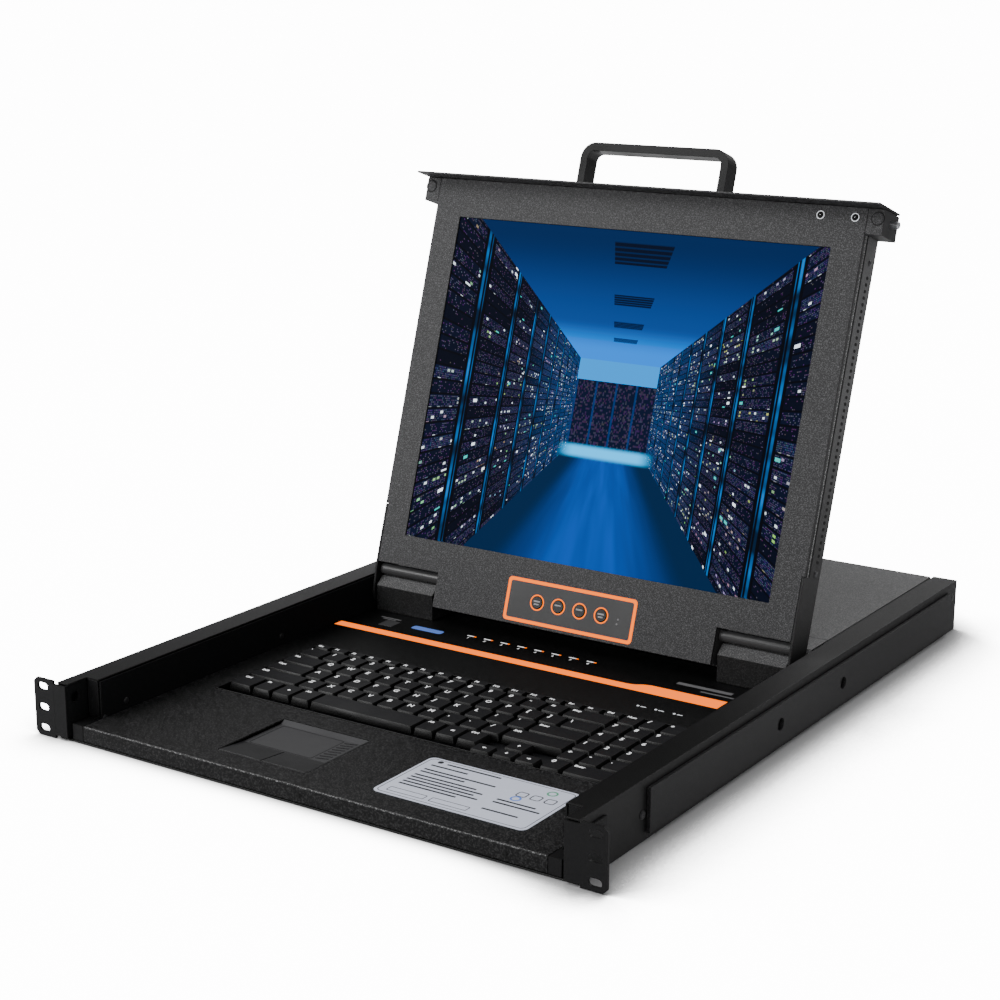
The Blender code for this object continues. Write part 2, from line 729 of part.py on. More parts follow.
def keyboard_base(finish):
    """The keyboard's shallow tray, whose rim stands just above the deck."""
    rim, floor = 1.1, WEB_LOW - 2.2
    low = (KEYS_LEFT - rim, KEYS_FRONT - rim, floor - SHEET)
    high = (KEYS_RIGHT + rim, KEYS_BACK + rim, DECK_TOP + 0.3)
    tray = block("keyboard_base", low, high, finish)
    well_low = (KEYS_LEFT - GAP, KEYS_FRONT - GAP, floor)
    well_high = (KEYS_RIGHT + GAP, KEYS_BACK + GAP, DECK_TOP + 5)
    return cut(tray, block("keyboard_well", well_low, well_high, finish))


def hinge_block(side, finish):
    """The wedge-fronted block that holds the hinge pin."""
    name = f"hinge_block_{side_name(side)}"
    front, back, low, top = HINGE_BLOCK_FRONT, HINGE_BLOCK_BACK, DECK_TOP + 0.4, HINGE_BLOCK_TOP
    run, drop = HINGE_BLOCK_SLOPE
    outline = [(front, low), (back, low), (back, top), (front + run, top), (front, top - drop)]
    x_low, x_high = ordered(side * HINGE_BLOCK_INNER, side * HINGE_BLOCK_OUTER)
    body = extruded(name, outline, "X", x_low, x_high, finish)
    start = (side * (PIN_INNER - 3), HINGE_Y, HINGE_Z)
    return cut(body, rod(name + "_bore", PIN_RADIUS + 0.1, start, side * 30, "X", finish))


def hinge_cover(finish):
    """The folded strip behind the hinges, which also closes the back of the drawer."""
    front, back, top = DECK_BACK + 1.8, DRAWER_LENGTH, CHASSIS_HEIGHT
    short, long = DECK_TOP + 0.5, TRAY_BOTTOM + SHEET + GAP
    outline = [
        (front, short), (front + SHEET, short), (front + SHEET, top - SHEET),
        (back - SHEET, top - SHEET), (back - SHEET, long), (back, long), (back, top), (front, top),
    ]
    return extruded("hinge_cover", outline, "X", -DECK_HALF, DECK_HALF, finish)


def build_drawer(parent, colors):
    coat = (parent, colors["powder_coat"])
    key_finish = (parent, colors["key_plastic"])
    tray_pan(coat)
    keyboard_deck(coat)
    hinge_cover(coat)
    for side in (-1, 1):
        slide_inner(side, coat)
        hinge_block(side, coat)
    pad_finish = (parent, colors["pad_plastic"])
    touchpad(pad_finish)
    pad_button("pad_button_left", PAD_LEFT + GAP, BUTTON_SPLIT - 0.4, pad_finish)
    pad_button("pad_button_right", BUTTON_SPLIT + 0.4, PAD_RIGHT - GAP, pad_finish)
    keyboard_base((parent, colors["key_plastic"]))
    build_main_keys(*key_finish)
    modifier_keys(key_finish)
    arrow_keys(key_finish)
    numpad_keys(key_finish)
    block("rating_label", LABEL_LOW, LABEL_HIGH, (parent, colors["label"]))
    x, y = POWER_BUTTON_AT
    reach = POWER_BUTTON_SIDE / 2
    low, high = (x - reach, y - reach, PAD_LEDGE), (x + reach, y + reach, DECK_TOP + 0.3)
    block("power_button", low, high, pad_finish)
    block("control_board", *CONTROL_BOARD, (parent, colors["board"]))


# ---------------------------------------------------------------- monitor


def depth(value):
    """Monitor frame Y of a depth behind the bezel's front face."""
    return value - HINGE_DEPTH


def height(value):
    """Monitor frame Z of a height above the screen's lower edge."""
    return value - HINGE_HEIGHT


def monitor_block(name, x_range, depth_range, height_range, finish):
    low = (x_range[0], depth(depth_range[0]), height(height_range[0]))
    high = (x_range[1], depth(depth_range[1]), height(height_range[1]))
    return block(name, low, high, finish)


def screen_bezel(finish):
    """The front frame, with its window, its lower console strip and the button openings."""
    wide, narrow, low = MONITOR_HALF, SIDE_INNER - GAP, LOWER_HALF
    step = SIDE_STEP_HEIGHT + GAP
    half = [
        (wide, MONITOR_TOP), (wide, step), (narrow, step),
        (narrow, BODY_BOTTOM), (low, BODY_BOTTOM), (low, LOWER_BOTTOM),
    ]
    outline = [(u, height(v)) for u, v in half + [(-u, v) for u, v in reversed(half)]]
    window_half = SCREEN_WIDTH / 2
    holes = [rectangle((-window_half, window_half), (height(0), height(SCREEN_HEIGHT)))]
    holes += [circle((x, height(OSD_HEIGHT)), OSD_RADIUS + 0.4, SMALL_STEPS) for x in OSD_X]
    return extruded("screen_bezel", outline, "Y", depth(0.0), depth(BEZEL_DEPTH), finish, holes)


def rear_cover(finish):
    """The monitor's back: a shallow box open to the bezel, with a second box behind the console strip."""
    half, front = SIDE_INNER - GAP, BEZEL_DEPTH + GAP
    box = monitor_block(
        "rear_cover", (-half, half), (front, MONITOR_DEPTH), (BODY_BOTTOM, MONITOR_TOP), finish
    )
    low_half, low_back = LOWER_HALF - TUCK, LOWER_DEPTH
    lower_box = monitor_block(
        "lower_box", (-low_half, low_half), (front + TUCK, low_back),
        (LOWER_BOTTOM + TUCK, BODY_BOTTOM + 3), finish,
    )
    hollow = monitor_block(
        "rear_cover_hollow", (-half + SHEET, half - SHEET), (-3, MONITOR_DEPTH - SHEET),
        (BODY_BOTTOM + SHEET, MONITOR_TOP - SHEET), finish,
    )
    lower_hollow = monitor_block(
        "lower_box_hollow", (-low_half + SHEET, low_half - SHEET), (-3.5, low_back - SHEET),
        (LOWER_BOTTOM + TUCK + SHEET, BODY_BOTTOM + 8), finish,
    )
    return cut(join(box, lower_box), hollow, lower_hollow)


def lcd_panel(finish):
    """The display module, whose face stands forward into the window."""
    module = monitor_block(
        "lcd_panel", (-MODULE_HALF, MODULE_HALF), (BEZEL_DEPTH + GAP, MODULE_BACK),
        (MODULE_LOW, MODULE_HIGH), finish,
    )
    inset = 0.4
    face_half = SCREEN_WIDTH / 2 - inset
    face = monitor_block(
        "lcd_face", (-face_half, face_half), (SHEET, BEZEL_DEPTH + 1),
        (inset, SCREEN_HEIGHT - inset), finish,
    )
    return join(module, face)


def side_plate(side, finish):
    """A side of the monitor, carried down past the hinge block to a rounded end on the hinge axis."""
    name = f"side_plate_{side_name(side)}"
    end = arc((HINGE_DEPTH, HINGE_HEIGHT), SIDE_END_RADIUS, 0, -180, 16)
    outline = [
        (BEZEL_DEPTH + GAP, MONITOR_TOP), (MONITOR_DEPTH, MONITOR_TOP), (MONITOR_DEPTH, BODY_BOTTOM - 4),
        *end, (0.0, BODY_BOTTOM - 4), (0.0, SIDE_STEP_HEIGHT),
        (BEZEL_DEPTH + GAP, SIDE_STEP_HEIGHT),
    ]
    outline = [(depth(u), height(v)) for u, v in outline]
    low, high = ordered(side * SIDE_INNER, side * MONITOR_HALF)
    eye = circle((0.0, 0.0), PIN_RADIUS + GAP)
    return extruded(name, outline, "X", low, high, finish, [eye])


def hinge_pin(side, finish):
    """A shouldered pin: its shank turns in the hinge block and its head sits outside the side plate."""
    name = f"hinge_pin_{side_name(side)}"
    pin = rod(name, PIN_RADIUS, (side * PIN_INNER, 0, 0), side * PIN_LENGTH, "X", finish)
    head_start = (side * (MONITOR_HALF + GAP), 0, 0)
    head = rod(name + "_head", PIN_HEAD_RADIUS, head_start, side * PIN_HEAD_THICKNESS, "X", finish)
    return join(pin, head)


def latch_housing(side, finish):
    name = f"latch_housing_{side_name(side)}"
    inner = MONITOR_HALF + GAP
    body = monitor_block(
        name, ordered(side * inner, side * LATCH_OUTER), (0, MONITOR_DEPTH),
        (LATCH_BOTTOM, MONITOR_TOP), finish,
    )
    start = (side * (inner - 3), depth(LATCH_DEPTH), height(LATCH_HEIGHT))
    return cut(body, rod(name + "_bore", LATCH_RADIUS + GAP, start, side * 20, "X", finish))


def latch_pin(side, finish):
    start = (side * LATCH_PIN_INNER, depth(LATCH_DEPTH), height(LATCH_HEIGHT))
    length = side * LATCH_PIN_LENGTH
    pin = rod(f"latch_pin_{side_name(side)}", LATCH_RADIUS, start, length, "X", finish)
    tip = pin.modifiers.new("tip", "BEVEL")
    tip.width = 0.8 * MM
    tip.segments = 1
    tip.limit_method = "ANGLE"
    return pin


def handle(finish):
    """A flat bar bent into a U, with rounded edges."""
    outer_radius, inner_radius = HANDLE_BEND, HANDLE_BEND - HANDLE_BAR
    half, top, bottom = HANDLE_HALF, HANDLE_TOP, MONITOR_TOP + 2.3
    bend_x, bend_z = half - outer_radius, top - outer_radius
    outline = [(half, bottom)]
    outline += arc((bend_x, bend_z), outer_radius, 0, 90, 8)
    outline += arc((-bend_x, bend_z), outer_radius, 90, 180, 8)
    outline += [(-half, bottom), (-half + HANDLE_BAR, bottom)]
    outline += arc((-bend_x, bend_z), inner_radius, 180, 90, 8)
    outline += arc((bend_x, bend_z), inner_radius, 90, 0, 8)
    outline.append((half - HANDLE_BAR, bottom))
    outline = [(u, height(v)) for u, v in outline]
    bar = extruded("handle", outline, "Y", depth(HANDLE_FRONT), depth(PANEL_BACK), finish)
    edge = bar.modifiers.new("rounded_edges", "BEVEL")
    edge.width = 2.2 * MM
    edge.segments = 2
    edge.limit_method = "ANGLE"
    edge.angle_limit = math.radians(60)
    return bar


def build_monitor(parent, colors):
    coat = (parent, colors["powder_coat"])
    screen_bezel(coat)
    rear_cover(coat)
    for side in (-1, 1):
        side_plate(side, coat)
        hinge_pin(side, (parent, colors["zinc"]))
        latch_housing(side, coat)
        latch_pin(side, (parent, colors["zinc"]))
        start = (side * TUBE_INNER, depth(TUBE_DEPTH), height(TUBE_HEIGHT))
        length = side * (TUBE_OUTER - TUBE_INNER)
        rod(f"hinge_tube_{side_name(side)}", TUBE_RADIUS, start, length, "X", coat)
    lcd_panel((parent, colors["screen"]))
    monitor_block(
        "front_panel", (-PANEL_HALF, PANEL_HALF), (PANEL_FRONT, PANEL_BACK),
        (MONITOR_TOP + 0.5, MONITOR_TOP + 2.0), coat,
    )
    handle((parent, colors["handle_metal"]))
    button_finish = (parent, colors["pad_plastic"])
    for i, x in enumerate(OSD_X):
        start = (x, depth(-OSD_STAND), height(OSD_HEIGHT))
        name = f"osd_button_{i + 1}"
        rod(name, OSD_RADIUS, start, OSD_BUTTON_LENGTH, "Y", button_finish, SMALL_STEPS)
    monitor_block("osd_board", *OSD_BOARD, (parent, colors["board"]))


def make_colors():
    return {
        "powder_coat": new_material("powder_coat", (0.045, 0.046, 0.048), 0.55),
        "zinc": new_material("zinc", (0.62, 0.63, 0.65), 0.35, metallic=1.0),
        "connector": new_material("connector", (0.02, 0.02, 0.02), 0.45),
        "port_metal": new_material("port_metal", (0.6, 0.6, 0.6), 0.3, metallic=1.0),
        "board": new_material("board", (0.02, 0.16, 0.06), 0.5),
        "key_plastic": new_material("key_plastic", (0.025, 0.025, 0.027), 0.5),
        "pad_plastic": new_material("pad_plastic", (0.05, 0.05, 0.053), 0.4),
        "label": new_material("label", (0.62, 0.65, 0.74), 0.4),
        "handle_metal": new_material("handle_metal", (0.05, 0.05, 0.052), 0.3, metallic=0.6),
        "screen": new_material("screen", (0.05, 0.25, 0.9), 0.2, emission=0.6),
    }


clear_scene()
PARTS = new_collection("rack_console_drawer")
HELPERS = new_collection("cutters_and_joins")
COLORS = make_colors()
EAR_PLANE = new_empty("ear_plane", (0, -CHASSIS_DEPTH / 2, 0))
DRAWER = new_empty("drawer", (0, 0, 0), EAR_PLANE)
MONITOR = new_empty("monitor_hinge", (0, HINGE_Y, HINGE_Z), DRAWER, MONITOR_LEAN_DEG)
build_chassis(EAR_PLANE, COLORS)
for slide_side in (-1, 1):
    slide_middle(slide_side, (EAR_PLANE, COLORS["zinc"]))
build_drawer(DRAWER, COLORS)
build_monitor(MONITOR, COLORS)
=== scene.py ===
import json
import math

import bmesh
import bpy
from mathutils import Matrix, Vector

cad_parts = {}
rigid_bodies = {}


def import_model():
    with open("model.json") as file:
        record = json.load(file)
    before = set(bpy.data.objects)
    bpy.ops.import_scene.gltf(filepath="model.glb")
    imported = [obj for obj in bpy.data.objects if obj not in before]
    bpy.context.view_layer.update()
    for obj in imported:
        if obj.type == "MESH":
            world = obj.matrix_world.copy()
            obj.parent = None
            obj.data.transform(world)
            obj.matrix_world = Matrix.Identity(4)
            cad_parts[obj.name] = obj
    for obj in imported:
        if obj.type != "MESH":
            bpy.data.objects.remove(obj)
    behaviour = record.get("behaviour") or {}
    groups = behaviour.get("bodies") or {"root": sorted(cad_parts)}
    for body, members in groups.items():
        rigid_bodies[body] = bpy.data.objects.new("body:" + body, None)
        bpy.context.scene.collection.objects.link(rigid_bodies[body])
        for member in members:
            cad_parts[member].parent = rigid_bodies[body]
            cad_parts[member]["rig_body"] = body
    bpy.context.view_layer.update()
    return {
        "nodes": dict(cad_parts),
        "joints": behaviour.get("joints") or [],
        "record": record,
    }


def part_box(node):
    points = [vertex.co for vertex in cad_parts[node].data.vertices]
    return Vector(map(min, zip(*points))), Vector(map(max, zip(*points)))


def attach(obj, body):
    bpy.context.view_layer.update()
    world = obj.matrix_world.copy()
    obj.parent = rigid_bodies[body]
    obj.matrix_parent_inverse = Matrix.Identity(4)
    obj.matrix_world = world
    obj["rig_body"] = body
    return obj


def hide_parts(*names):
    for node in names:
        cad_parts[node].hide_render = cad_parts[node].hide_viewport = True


for startup in list(bpy.data.objects):
    bpy.data.objects.remove(startup, do_unlink=True)

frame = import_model()

MM = 0.001
NODES = frame["nodes"]
JOINTS = {joint["name"]: joint for joint in frame["joints"]}

# ------------------------------------ places taken from the frame

EAR_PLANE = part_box("rack_ear_left")[0].y
DECK_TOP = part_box("keyboard_deck")[1].z / MM
ROW = Matrix.Translation((0.0, EAR_PLANE, 0.0))


def box_mm(name):
    """A node's low and high corner in millimetres, with y counted from the ears."""
    return [(corner - ROW.translation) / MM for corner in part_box(name)]


HINGE_AT = Vector(JOINTS["monitor_fold"]["pos_m"])
INWARD = Vector(JOINTS["osd_press_1"]["axis"]).normalized()
UPWARD = Vector((1.0, 0.0, 0.0)).cross(INWARD)
HINGE_DEPTH = 13.45 * MM
SCREEN_BASE = 49.0 * MM
SCREEN_WIDTH = 338.3


def monitor_frame():
    """Its X runs right, its Y into the monitor and its Z up the screen, from the screen's lower edge."""
    turn = Matrix((Vector((1.0, 0.0, 0.0)), INWARD, UPWARD)).transposed().to_4x4()
    origin = HINGE_AT - INWARD * HINGE_DEPTH + UPWARD * SCREEN_BASE
    return Matrix.Translation(origin) @ turn


MONITOR = monitor_frame()

# ------------------------------------ material nodes

RIGHT, BACK, UP = (1.0, 0.0, 0.0), (0.0, 1.0, 0.0), (0.0, 0.0, 1.0)


class Graph:
    """Builds a material's nodes and keeps the wiring short."""

    def __init__(self, name):
        self.material = bpy.data.materials.new(name)
        self.material.use_nodes = True
        self.tree = self.material.node_tree
        self.shader = self.tree.nodes["Principled BSDF"]
        self.place = self.tree.nodes.new("ShaderNodeTexCoord").outputs["Object"]

    def put(self, target, value):
        if isinstance(value, bpy.types.NodeSocket):
            self.tree.links.new(value, target)
        elif target.type == "RGBA" and len(value) == 3:
            target.default_value = (*value, 1.0)
        else:
            target.default_value = value

    def set(self, **inputs):
        for name, value in inputs.items():
            self.put(self.shader.inputs[name.replace("_", " ")], value)

    def math(self, operation, first, second=0.0, third=0.0):
        node = self.tree.nodes.new("ShaderNodeMath")
        node.operation = operation
        for target, value in zip(node.inputs, (first, second, third)):
            self.put(target, value)
        return node.outputs[0]

    def times(self, first, second):
        return self.math("MULTIPLY", first, second)

    def above(self, value, limit):
        return self.math("GREATER_THAN", value, limit)

    def below(self, value, limit):
        return self.math("LESS_THAN", value, limit)

    def floor(self, value):
        return self.math("FLOOR", value)

    def fract(self, value):
        return self.math("FRACT", value)

    def noise(self, scale, detail=2.0, vector=None):
        node = self.tree.nodes.new("ShaderNodeTexNoise")
        node.inputs["Scale"].default_value = scale
        node.inputs["Detail"].default_value = detail
        self.put(node.inputs["Vector"], vector or self.place)
        return node.outputs["Fac"]

    def steps(self, value, low, high, out_low=0.0, out_high=1.0):
        node = self.tree.nodes.new("ShaderNodeMapRange")
        node.interpolation_type = "SMOOTHSTEP"
        for target, number in zip(node.inputs, (value, low, high, out_low, out_high)):
            self.put(target, number)
        return node.outputs[0]

    def mix(self, factor, first, second):
        node = self.tree.nodes.new("ShaderNodeMix")
        node.data_type = "RGBA"
        self.put(node.inputs[0], factor)
        self.put(node.inputs[6], first)
        self.put(node.inputs[7], second)
        return node.outputs[2]

    def bump(self, height, strength, distance):
        node = self.tree.nodes.new("ShaderNodeBump")
        node.inputs["Strength"].default_value = strength
        node.inputs["Distance"].default_value = distance
        self.put(node.inputs["Height"], height)
        self.put(self.shader.inputs["Normal"], node.outputs["Normal"])

    def dot(self, vector, direction):
        node = self.tree.nodes.new("ShaderNodeVectorMath")
        node.operation = "DOT_PRODUCT"
        self.put(node.inputs[0], vector)
        self.put(node.inputs[1], direction)
        return node.outputs["Value"]

    def combine(self, x, y, z=0.0):
        node = self.tree.nodes.new("ShaderNodeCombineXYZ")
        for target, value in zip(node.inputs, (x, y, z)):
            self.put(target, value)
        return node.outputs[0]

    def facing(self, direction):
        """How far a surface faces a direction: 1 towards it, -1 away from it."""
        normal = self.tree.nodes.new("ShaderNodeNewGeometry").outputs["True Normal"]
        return self.dot(normal, direction)

    def seen(self, strength):
        """An emission strength that the camera sees, but that lights nothing else."""
        camera_ray = self.tree.nodes.new("ShaderNodeLightPath").outputs["Is Camera Ray"]
        return self.times(camera_ray, strength)

    def between(self, value, low, high, edge=0.0):
        """One between low and high, with soft edges if an edge width is given."""
        if edge:
            above = self.steps(value, low, low + edge)
            below = self.steps(value, high - edge, high, 1.0, 0.0)
        else:
            above = self.above(value, low)
            below = self.below(value, high)
        return self.times(above, below)

    def random(self, vector):
        node = self.tree.nodes.new("ShaderNodeTexWhiteNoise")
        self.put(node.inputs["Vector"], vector)
        return node.outputs["Value"], node.outputs["Color"]


def dimmed(color, share):
    return tuple(c * share for c in color)


COAT_GLOSS = 0.28
GRAIN_FROM, GRAIN_TO = 0.46, 0.66


def coat(name, color, speck, roughness=0.5, speck_share=0.5, grain_scale=1500.0,
         side_shade=1.0, gloss=COAT_GLOSS, flank_shade=1.0, painted_fade=None):
    """Powder coat: a fine orange-peel surface mottled with lighter grains.

    Faces that do not look up can get painted shade (side_shade), and so can faces that look left or
    right (flank_shade). A fade (direction, low, high, share) paints shade on the low side of a direction.
    """
    g = Graph(name)
    grain = g.noise(grain_scale, 3.0)
    patch = g.noise(9.0)
    specks = g.steps(grain, GRAIN_FROM, GRAIN_TO, 0.0, speck_share)
    cloudy = g.mix(g.steps(patch, 0.3, 0.7), dimmed(color, 0.88), color)
    shade = g.mix(specks, cloudy, speck)

    def scaled(share):
        return g.mix(specks, dimmed(color, share), dimmed(speck, share))

    # Painted shade: the coat is darkened by where a face lies or which way it faces, not by its paint.
    if painted_fade:
        direction, low, high, share = painted_fade
        shade = g.mix(g.steps(g.dot(g.place, direction), low, high), scaled(share), shade)
    if side_shade != 1.0:
        shade = g.mix(g.steps(g.facing(UP), 0.5, 0.9), scaled(side_shade), shade)
    if flank_shade != 1.0:
        flank = g.steps(g.math("ABSOLUTE", g.facing(RIGHT)), 0.5, 0.9)
        shade = g.mix(flank, shade, scaled(flank_shade))
    g.set(
        Base_Color=shade,
        Roughness=g.steps(grain, 0.3, 0.7, roughness - 0.06, roughness + 0.08),
        Specular_IOR_Level=gloss,
    )
    g.bump(grain, 0.35, 0.00015)
    return g.material


def plastic(name, color, roughness=0.45, grain_scale=2600.0, relief=0.2, side_shade=1.0, gloss=0.35):
    """Moulded plastic with a fine spark-eroded grain. Side faces can get painted shade, darker than the
    tops.
    """
    g = Graph(name)
    grain = g.noise(grain_scale, 2.0)
    wear = g.noise(30.0, 3.0)
    shade = g.mix(wear, color, tuple(min(1.0, c * 1.25) for c in color))
    # Painted shade: faces that do not look up are darkened.
    if side_shade < 1.0:
        shade = g.mix(g.steps(g.facing(UP), 0.75, 0.97), dimmed(color, side_shade), shade)
    g.set(
        Base_Color=shade,
        Roughness=g.steps(wear, 0.3, 0.7, roughness - 0.05, roughness + 0.07),
        Specular_IOR_Level=gloss,
    )
    g.bump(grain, relief, 0.0001)
    return g.material


def metal(name, color, roughness=0.28, stretch=(40.0, 2500.0, 2500.0)):
    """Plated metal with fine drawn lines along X."""
    g = Graph(name)
    scaled = g.tree.nodes.new("ShaderNodeMapping")
    scaled.inputs["Scale"].default_value = stretch
    g.put(scaled.inputs["Vector"], g.place)
    lines = g.noise(1.0, 2.0, scaled.outputs[0])
    g.set(
        Base_Color=g.mix(lines, dimmed(color, 0.85), color),
        Metallic=1.0,
        Roughness=g.steps(lines, 0.3, 0.7, roughness - 0.05, roughness + 0.1),
    )
    g.bump(lines, 0.1, 0.00005)
    return g.material


def paint(name, color, roughness=0.5, glow=0.0):
    """Printed ink or a lamp lens, slightly uneven. A glow that only the camera sees stands for a lamp's
    light, and on ink it is painted light.
    """
    g = Graph(name)
    uneven = g.noise(400.0, 2.0)
    shade = g.mix(uneven, dimmed(color, 0.93), color)
    g.set(Base_Color=shade, Roughness=roughness)
    if glow:
        g.set(Emission_Color=shade, Emission_Strength=g.seen(glow))
    return g.material


def bright_ink(name, color):
    """Saturated ink with painted light: it mostly glows, seen only by the camera, so that reflections can't
    wash it out.
    """
    g = Graph(name)
    uneven = g.noise(400.0, 2.0)
    shade = g.mix(uneven, dimmed(color, 0.94), color)
    g.set(Base_Color=tuple(min(1.0, c * 0.1) for c in color), Roughness=0.6, Specular_IOR_Level=0.1)
    g.set(Emission_Color=shade, Emission_Strength=g.seen(1.0))
    return g.material


def board_green(name):
    """Solder mask with faint traces."""
    g = Graph(name)
    traces = g.steps(g.noise(260.0, 1.0), 0.48, 0.52)
    g.set(
        Base_Color=g.mix(traces, (0.01, 0.10, 0.03), (0.03, 0.20, 0.07)), Roughness=0.35
    )
    g.bump(traces, 0.3, 0.00008)
    return g.material


# The picture: an aisle between two walls of cabinets, seen in one-point perspective. Across and rise
# count from the vanishing point in half screen widths. The near value is 1 / distance.
VANISH_X, VANISH_V = 6.5, 133.0
WALL_RATE, ROOF_RATE, FLOOR_RATE = 1.094, 1.219, 0.969
FAR_END, FAR_CABINETS = 0.236, 0.095
CABINET_RATE, UNIT_RATE = 2.8, 15.0
DIM_LAMPS, VIVID_LAMPS, LIT_BLOCKS = (120.0, 105.0), (42.0, 45.0), (19.6, 30.0)
LAMP_WIDTH, LAMP_HEIGHT = 0.64, 0.55
POSTS = ((0.01, 0.075, 1.0), (0.10, 0.13, 0.8))

UNIT_DARK, UNIT_LIGHT, HAZE = (0.0006, 0.002, 0.009), (0.003, 0.009, 0.040), (0.0, 0.040, 0.16)
GAP, POST, DIM_LAMP = (0.0002, 0.0008, 0.004), (0.0, 0.22, 0.72), (0.03, 0.05, 0.40)
GREEN_LAMP, WHITE_LAMP = (0.05, 0.75, 0.35), (1.3, 1.5, 1.6)
CYAN_BLOCK, WHITE_BLOCK = (0.05, 0.80, 0.75), (1.6, 1.8, 2.0)
FLOOR_DIM, FLOOR_BRIGHT, FLOOR_EDGE = (0.0, 0.070, 0.41), (0.0, 0.098, 0.58), (0.0, 0.020, 0.075)
ROOF_FAR, ROOF_MIDDLE, ROOF_NEAR = (0.0, 0.30, 1.25), (0.0, 0.070, 0.36), (0.001, 0.022, 0.105)
PANEL, FAR_DARK, FAR_LAMP = (0.0002, 0.003, 0.016), (0.001, 0.006, 0.030), (0.06, 0.02, 0.26)
FAR_POST, FAR_LIGHT, FLOOR_LINE = (0.0, 0.05, 0.22), (0.0, 0.42, 1.20), (0.0, 0.95, 2.0)


def lamp_grid(g, depth, level, side_sign, grid):
    """A grid of small windows: inside or not, each cell's chance and its tint."""
    across, down = g.times(depth, grid[0]), g.times(level, grid[1])
    cell = g.combine(g.floor(across), g.floor(down), side_sign)
    chance, tint = g.random(cell)
    in_across = g.below(g.fract(across), LAMP_WIDTH)
    in_down = g.below(g.fract(down), LAMP_HEIGHT)
    return g.times(in_across, in_down), chance, tint


def cabinet_wall(g, depth, level, side_sign, haze):
    """Cabinet fronts with lamps, parted by posts that catch the light."""
    column_place, unit_place = g.times(depth, CABINET_RATE), g.times(level, UNIT_RATE)
    column, shelf = g.fract(column_place), g.fract(unit_place)
    front = g.times(g.between(column, 0.19, 0.96), g.steps(shelf, 0.10, 0.20))
    unit = g.combine(g.floor(column_place), g.floor(unit_place), side_sign)
    busy, unit_tint = g.random(unit)
    shade = g.mix(busy, UNIT_DARK, UNIT_LIGHT)
    body = g.mix(haze, HAZE, shade)
    body = g.mix(front, GAP, body)
    along_post = g.combine(g.floor(column_place), g.times(level, 4.5), side_sign)
    streak = g.noise(1.0, 2.0, along_post)
    for low, high, strength in POSTS:
        sheen = g.steps(streak, 0.38, 0.64, 0.06, strength)
        body = g.mix(g.times(g.between(column, low, high, 0.015), sheen), body, POST)
    inside, chance, tint = lamp_grid(g, depth, level, side_sign, DIM_LAMPS)
    lit = g.times(g.above(chance, g.math("MULTIPLY_ADD", busy, -0.75, 0.95)), inside)
    dim = g.mix(0.66, tint, DIM_LAMP)
    body = g.mix(g.times(g.times(lit, front), 0.30), body, dim)
    inside, chance, tint = lamp_grid(g, depth, level, side_sign, VIVID_LAMPS)
    lit = g.times(g.above(chance, g.math("MULTIPLY_ADD", busy, -0.26, 1.05)), inside)
    strong = g.above(g.dot(tint, BACK), 0.6)
    vivid = g.mix(strong, g.mix(0.35, unit_tint, GREEN_LAMP), WHITE_LAMP)
    body = g.mix(g.times(g.times(lit, front), 0.9), body, vivid)
    inside, chance, tint = lamp_grid(g, depth, level, side_sign, LIT_BLOCKS)
    lit = g.times(g.above(chance, 0.978), inside)
    block = g.mix(g.above(g.dot(tint, UP), 0.5), CYAN_BLOCK, WHITE_BLOCK)
    return g.mix(g.times(lit, front), body, block)


def aisle_floor(g, side, depth):
    """A floor that shines along its middle, with soft streaks."""
    centre = g.steps(g.math("ABSOLUTE", side), 0.16, 0.72)
    smear = g.noise(1.0, 2.0, g.combine(g.times(side, 6.0), g.times(depth, 0.5)))
    middle = g.mix(g.steps(smear, 0.3, 0.7), FLOOR_DIM, FLOOR_BRIGHT)
    return g.mix(centre, middle, FLOOR_EDGE)


def aisle_roof(g, near, side, depth):
    """A roof that brightens towards the far end, with a row of louvred panels."""
    far = g.mix(g.steps(near, FAR_END + 0.05, 0.46), ROOF_FAR, ROOF_MIDDLE)
    color = g.mix(g.steps(near, 0.36, 0.95), far, ROOF_NEAR)
    place = g.fract(g.times(depth, 1.887))
    panel = g.times(g.between(place, 0.04, 0.37), g.between(side, -0.15, 0.20))
    panel = g.times(panel, g.below(depth, 3.1))
    louvre = g.above(g.fract(g.times(depth, 27.0)), 0.35)
    panel = g.times(panel, g.math("MULTIPLY_ADD", louvre, 0.55, 0.4))
    return g.mix(panel, color, PANEL)


def far_wall(g, across, rise):
    """The far end: a lit wall over a row of cabinets."""
    cell = g.combine(g.floor(g.times(across, 140.0)), g.floor(g.times(rise, 110.0)))
    chance, tint = g.random(cell)
    lit = g.above(chance, 0.66)
    lamp = g.mix(0.75, tint, FAR_LAMP)
    color = g.mix(g.times(lit, 0.16), FAR_DARK, lamp)
    post = g.between(g.fract(g.times(across, 9.2)), 0.0, 0.10)
    color = g.mix(g.times(post, 0.7), color, FAR_POST)
    return g.mix(g.above(rise, FAR_CABINETS), color, FAR_LIGHT)


